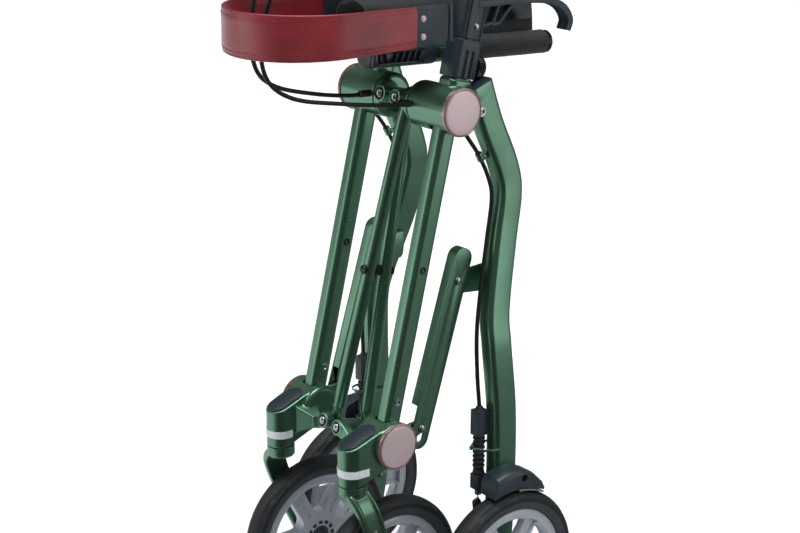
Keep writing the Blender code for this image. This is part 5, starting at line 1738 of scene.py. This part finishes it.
def floor_finish(toward):
    """Pale to look at. To glossy rays it glows instead, as a painted reflection: dark in a wedge towards the
    main camera, and brighter on its left.
    """
    made = Finish("studio floor", (0.92, 0.92, 0.92, 1.0), 0.0, 0.9)
    made.mottle(made.grain(0.8, 2.0), 0.01)
    flat = made.node("ShaderNodeVectorMath", {0: made.place}, operation="MULTIPLY")
    flat.inputs[1].default_value = (1.0, 1.0, 0.0)
    unit = made.node("ShaderNodeVectorMath", {0: flat.outputs[0]}, operation="NORMALIZE")
    facing = made.node("ShaderNodeVectorMath", {0: unit.outputs[0]}, operation="DOT_PRODUCT")
    facing.inputs[1].default_value = toward
    # painted shade in the reflection: darker in the wedge that faces the main camera
    shade = made.node("ShaderNodeMapRange", {"Value": facing.outputs["Value"]})
    shade.interpolation_type = "SMOOTHSTEP"
    for key, value in (("From Min", 0.42), ("From Max", 0.86), ("To Min", 1.0), ("To Max", 0.03)):
        shade.inputs[key].default_value = value
    # painted highlight in the reflection: brighter towards the floor's left
    aside = made.node("ShaderNodeVectorMath", {0: unit.outputs[0]}, operation="DOT_PRODUCT")
    aside.inputs[1].default_value = Vector((-toward.y, toward.x, 0.0))
    lean = made.node("ShaderNodeMapRange", {"Value": aside.outputs["Value"]})
    for key, value in (("From Min", -0.4), ("From Max", 0.5), ("To Min", 0.80), ("To Max", 0.20)):
        lean.inputs[key].default_value = value
    both = made.node("ShaderNodeMath", {0: shade.outputs[0], 1: lean.outputs[0]}, operation="MULTIPLY")
    # painted reflection: the floor glows with this strength for glossy rays only
    painted_reflection_glow = made.node("ShaderNodeEmission", {"Strength": both.outputs[0]})
    painted_reflection_glow.inputs["Color"].default_value = (0.94, 0.98, 1.0, 1.0)
    path = made.node("ShaderNodeLightPath")
    mix = made.node("ShaderNodeMixShader", {
        0: path.outputs["Is Glossy Ray"], 1: made.shader.outputs[0], 2: painted_reflection_glow.outputs[0]})
    made.tree.links.new(mix.outputs[0], made.tree.nodes["Material Output"].inputs["Surface"])
    return made.material


def studio_world():
    """White to look at, dim to be lit by, dark to be reflected."""
    world = bpy.data.worlds.new("studio")
    world.use_nodes = True
    tree = world.node_tree
    back = tree.nodes["Background"]
    back.inputs["Color"].default_value = (0.92, 0.96, 1.0, 1.0)
    path = tree.nodes.new("ShaderNodeLightPath")
    seen = tree.nodes.new("ShaderNodeMath")
    seen.operation = "MULTIPLY_ADD"
    seen.inputs[1].default_value = 0.75
    seen.inputs[2].default_value = 0.25
    tree.links.new(path.outputs["Is Camera Ray"], seen.inputs[0])
    glossy = tree.nodes.new("ShaderNodeMath")
    glossy.operation = "MULTIPLY_ADD"
    glossy.inputs[1].default_value = -0.17
    tree.links.new(path.outputs["Is Glossy Ray"], glossy.inputs[0])
    tree.links.new(seen.outputs[0], glossy.inputs[2])
    tree.links.new(glossy.outputs[0], back.inputs["Strength"])
    bpy.context.scene.world = world


def softbox(name, where, aim, width, height, power):
    light = bpy.data.lights.new(name, "AREA")
    light.shape = "RECTANGLE"
    light.size = width
    light.size_y = height
    light.energy = power
    ob = bpy.data.objects.new(name, light)
    ob.location = where
    ob.rotation_euler = (aim - where).to_track_quat("-Z", "Y").to_euler()
    ob.visible_camera = False
    bpy.context.scene.collection.objects.link(ob)


def stage():
    toward = Vector((CAMERA_AT.x, CAMERA_AT.y, 0.0)).normalized()
    right = Vector((-toward.y, toward.x, 0.0))
    bm = bmesh.new()
    bmesh.ops.create_grid(bm, x_segments=1, y_segments=1, size=FLOOR_SIZE)
    mesh = bpy.data.meshes.new("floor")
    bm.to_mesh(mesh)
    bm.free()
    floor = place("floor", mesh)
    mesh.materials.append(floor_finish(toward))
    studio_world()

    camera = bpy.data.cameras.new("camera")
    camera.lens = 71.42
    camera.sensor_width = 36.0
    holder = bpy.data.objects.new("camera", camera)
    holder.location = CAMERA_AT
    holder.rotation_euler = (math.radians(90.0 - 17.7944), 0.0, math.radians(51.2846))
    bpy.context.scene.collection.objects.link(holder)
    bpy.context.scene.camera = holder

    aim = Vector((0.0, 0.0, 0.50))
    softbox("left softbox", aim - right * 1.8 + toward * 0.3 + Z_AXIS * 0.5, aim, 0.9, 1.6, 5.0)
    softbox("right softbox", aim + right * 1.8 + toward * 0.5 + Z_AXIS * 0.4, aim, 0.9, 1.6, 5.0)

    sun = bpy.data.lights.new("overhead", "SUN")
    sun.energy = 3.3
    sun.angle = math.radians(60.0)
    sun_ob = bpy.data.objects.new("overhead", sun)
    bpy.context.scene.collection.objects.link(sun_ob)
    bpy.context.scene.view_settings.view_transform = "Standard"


stage()
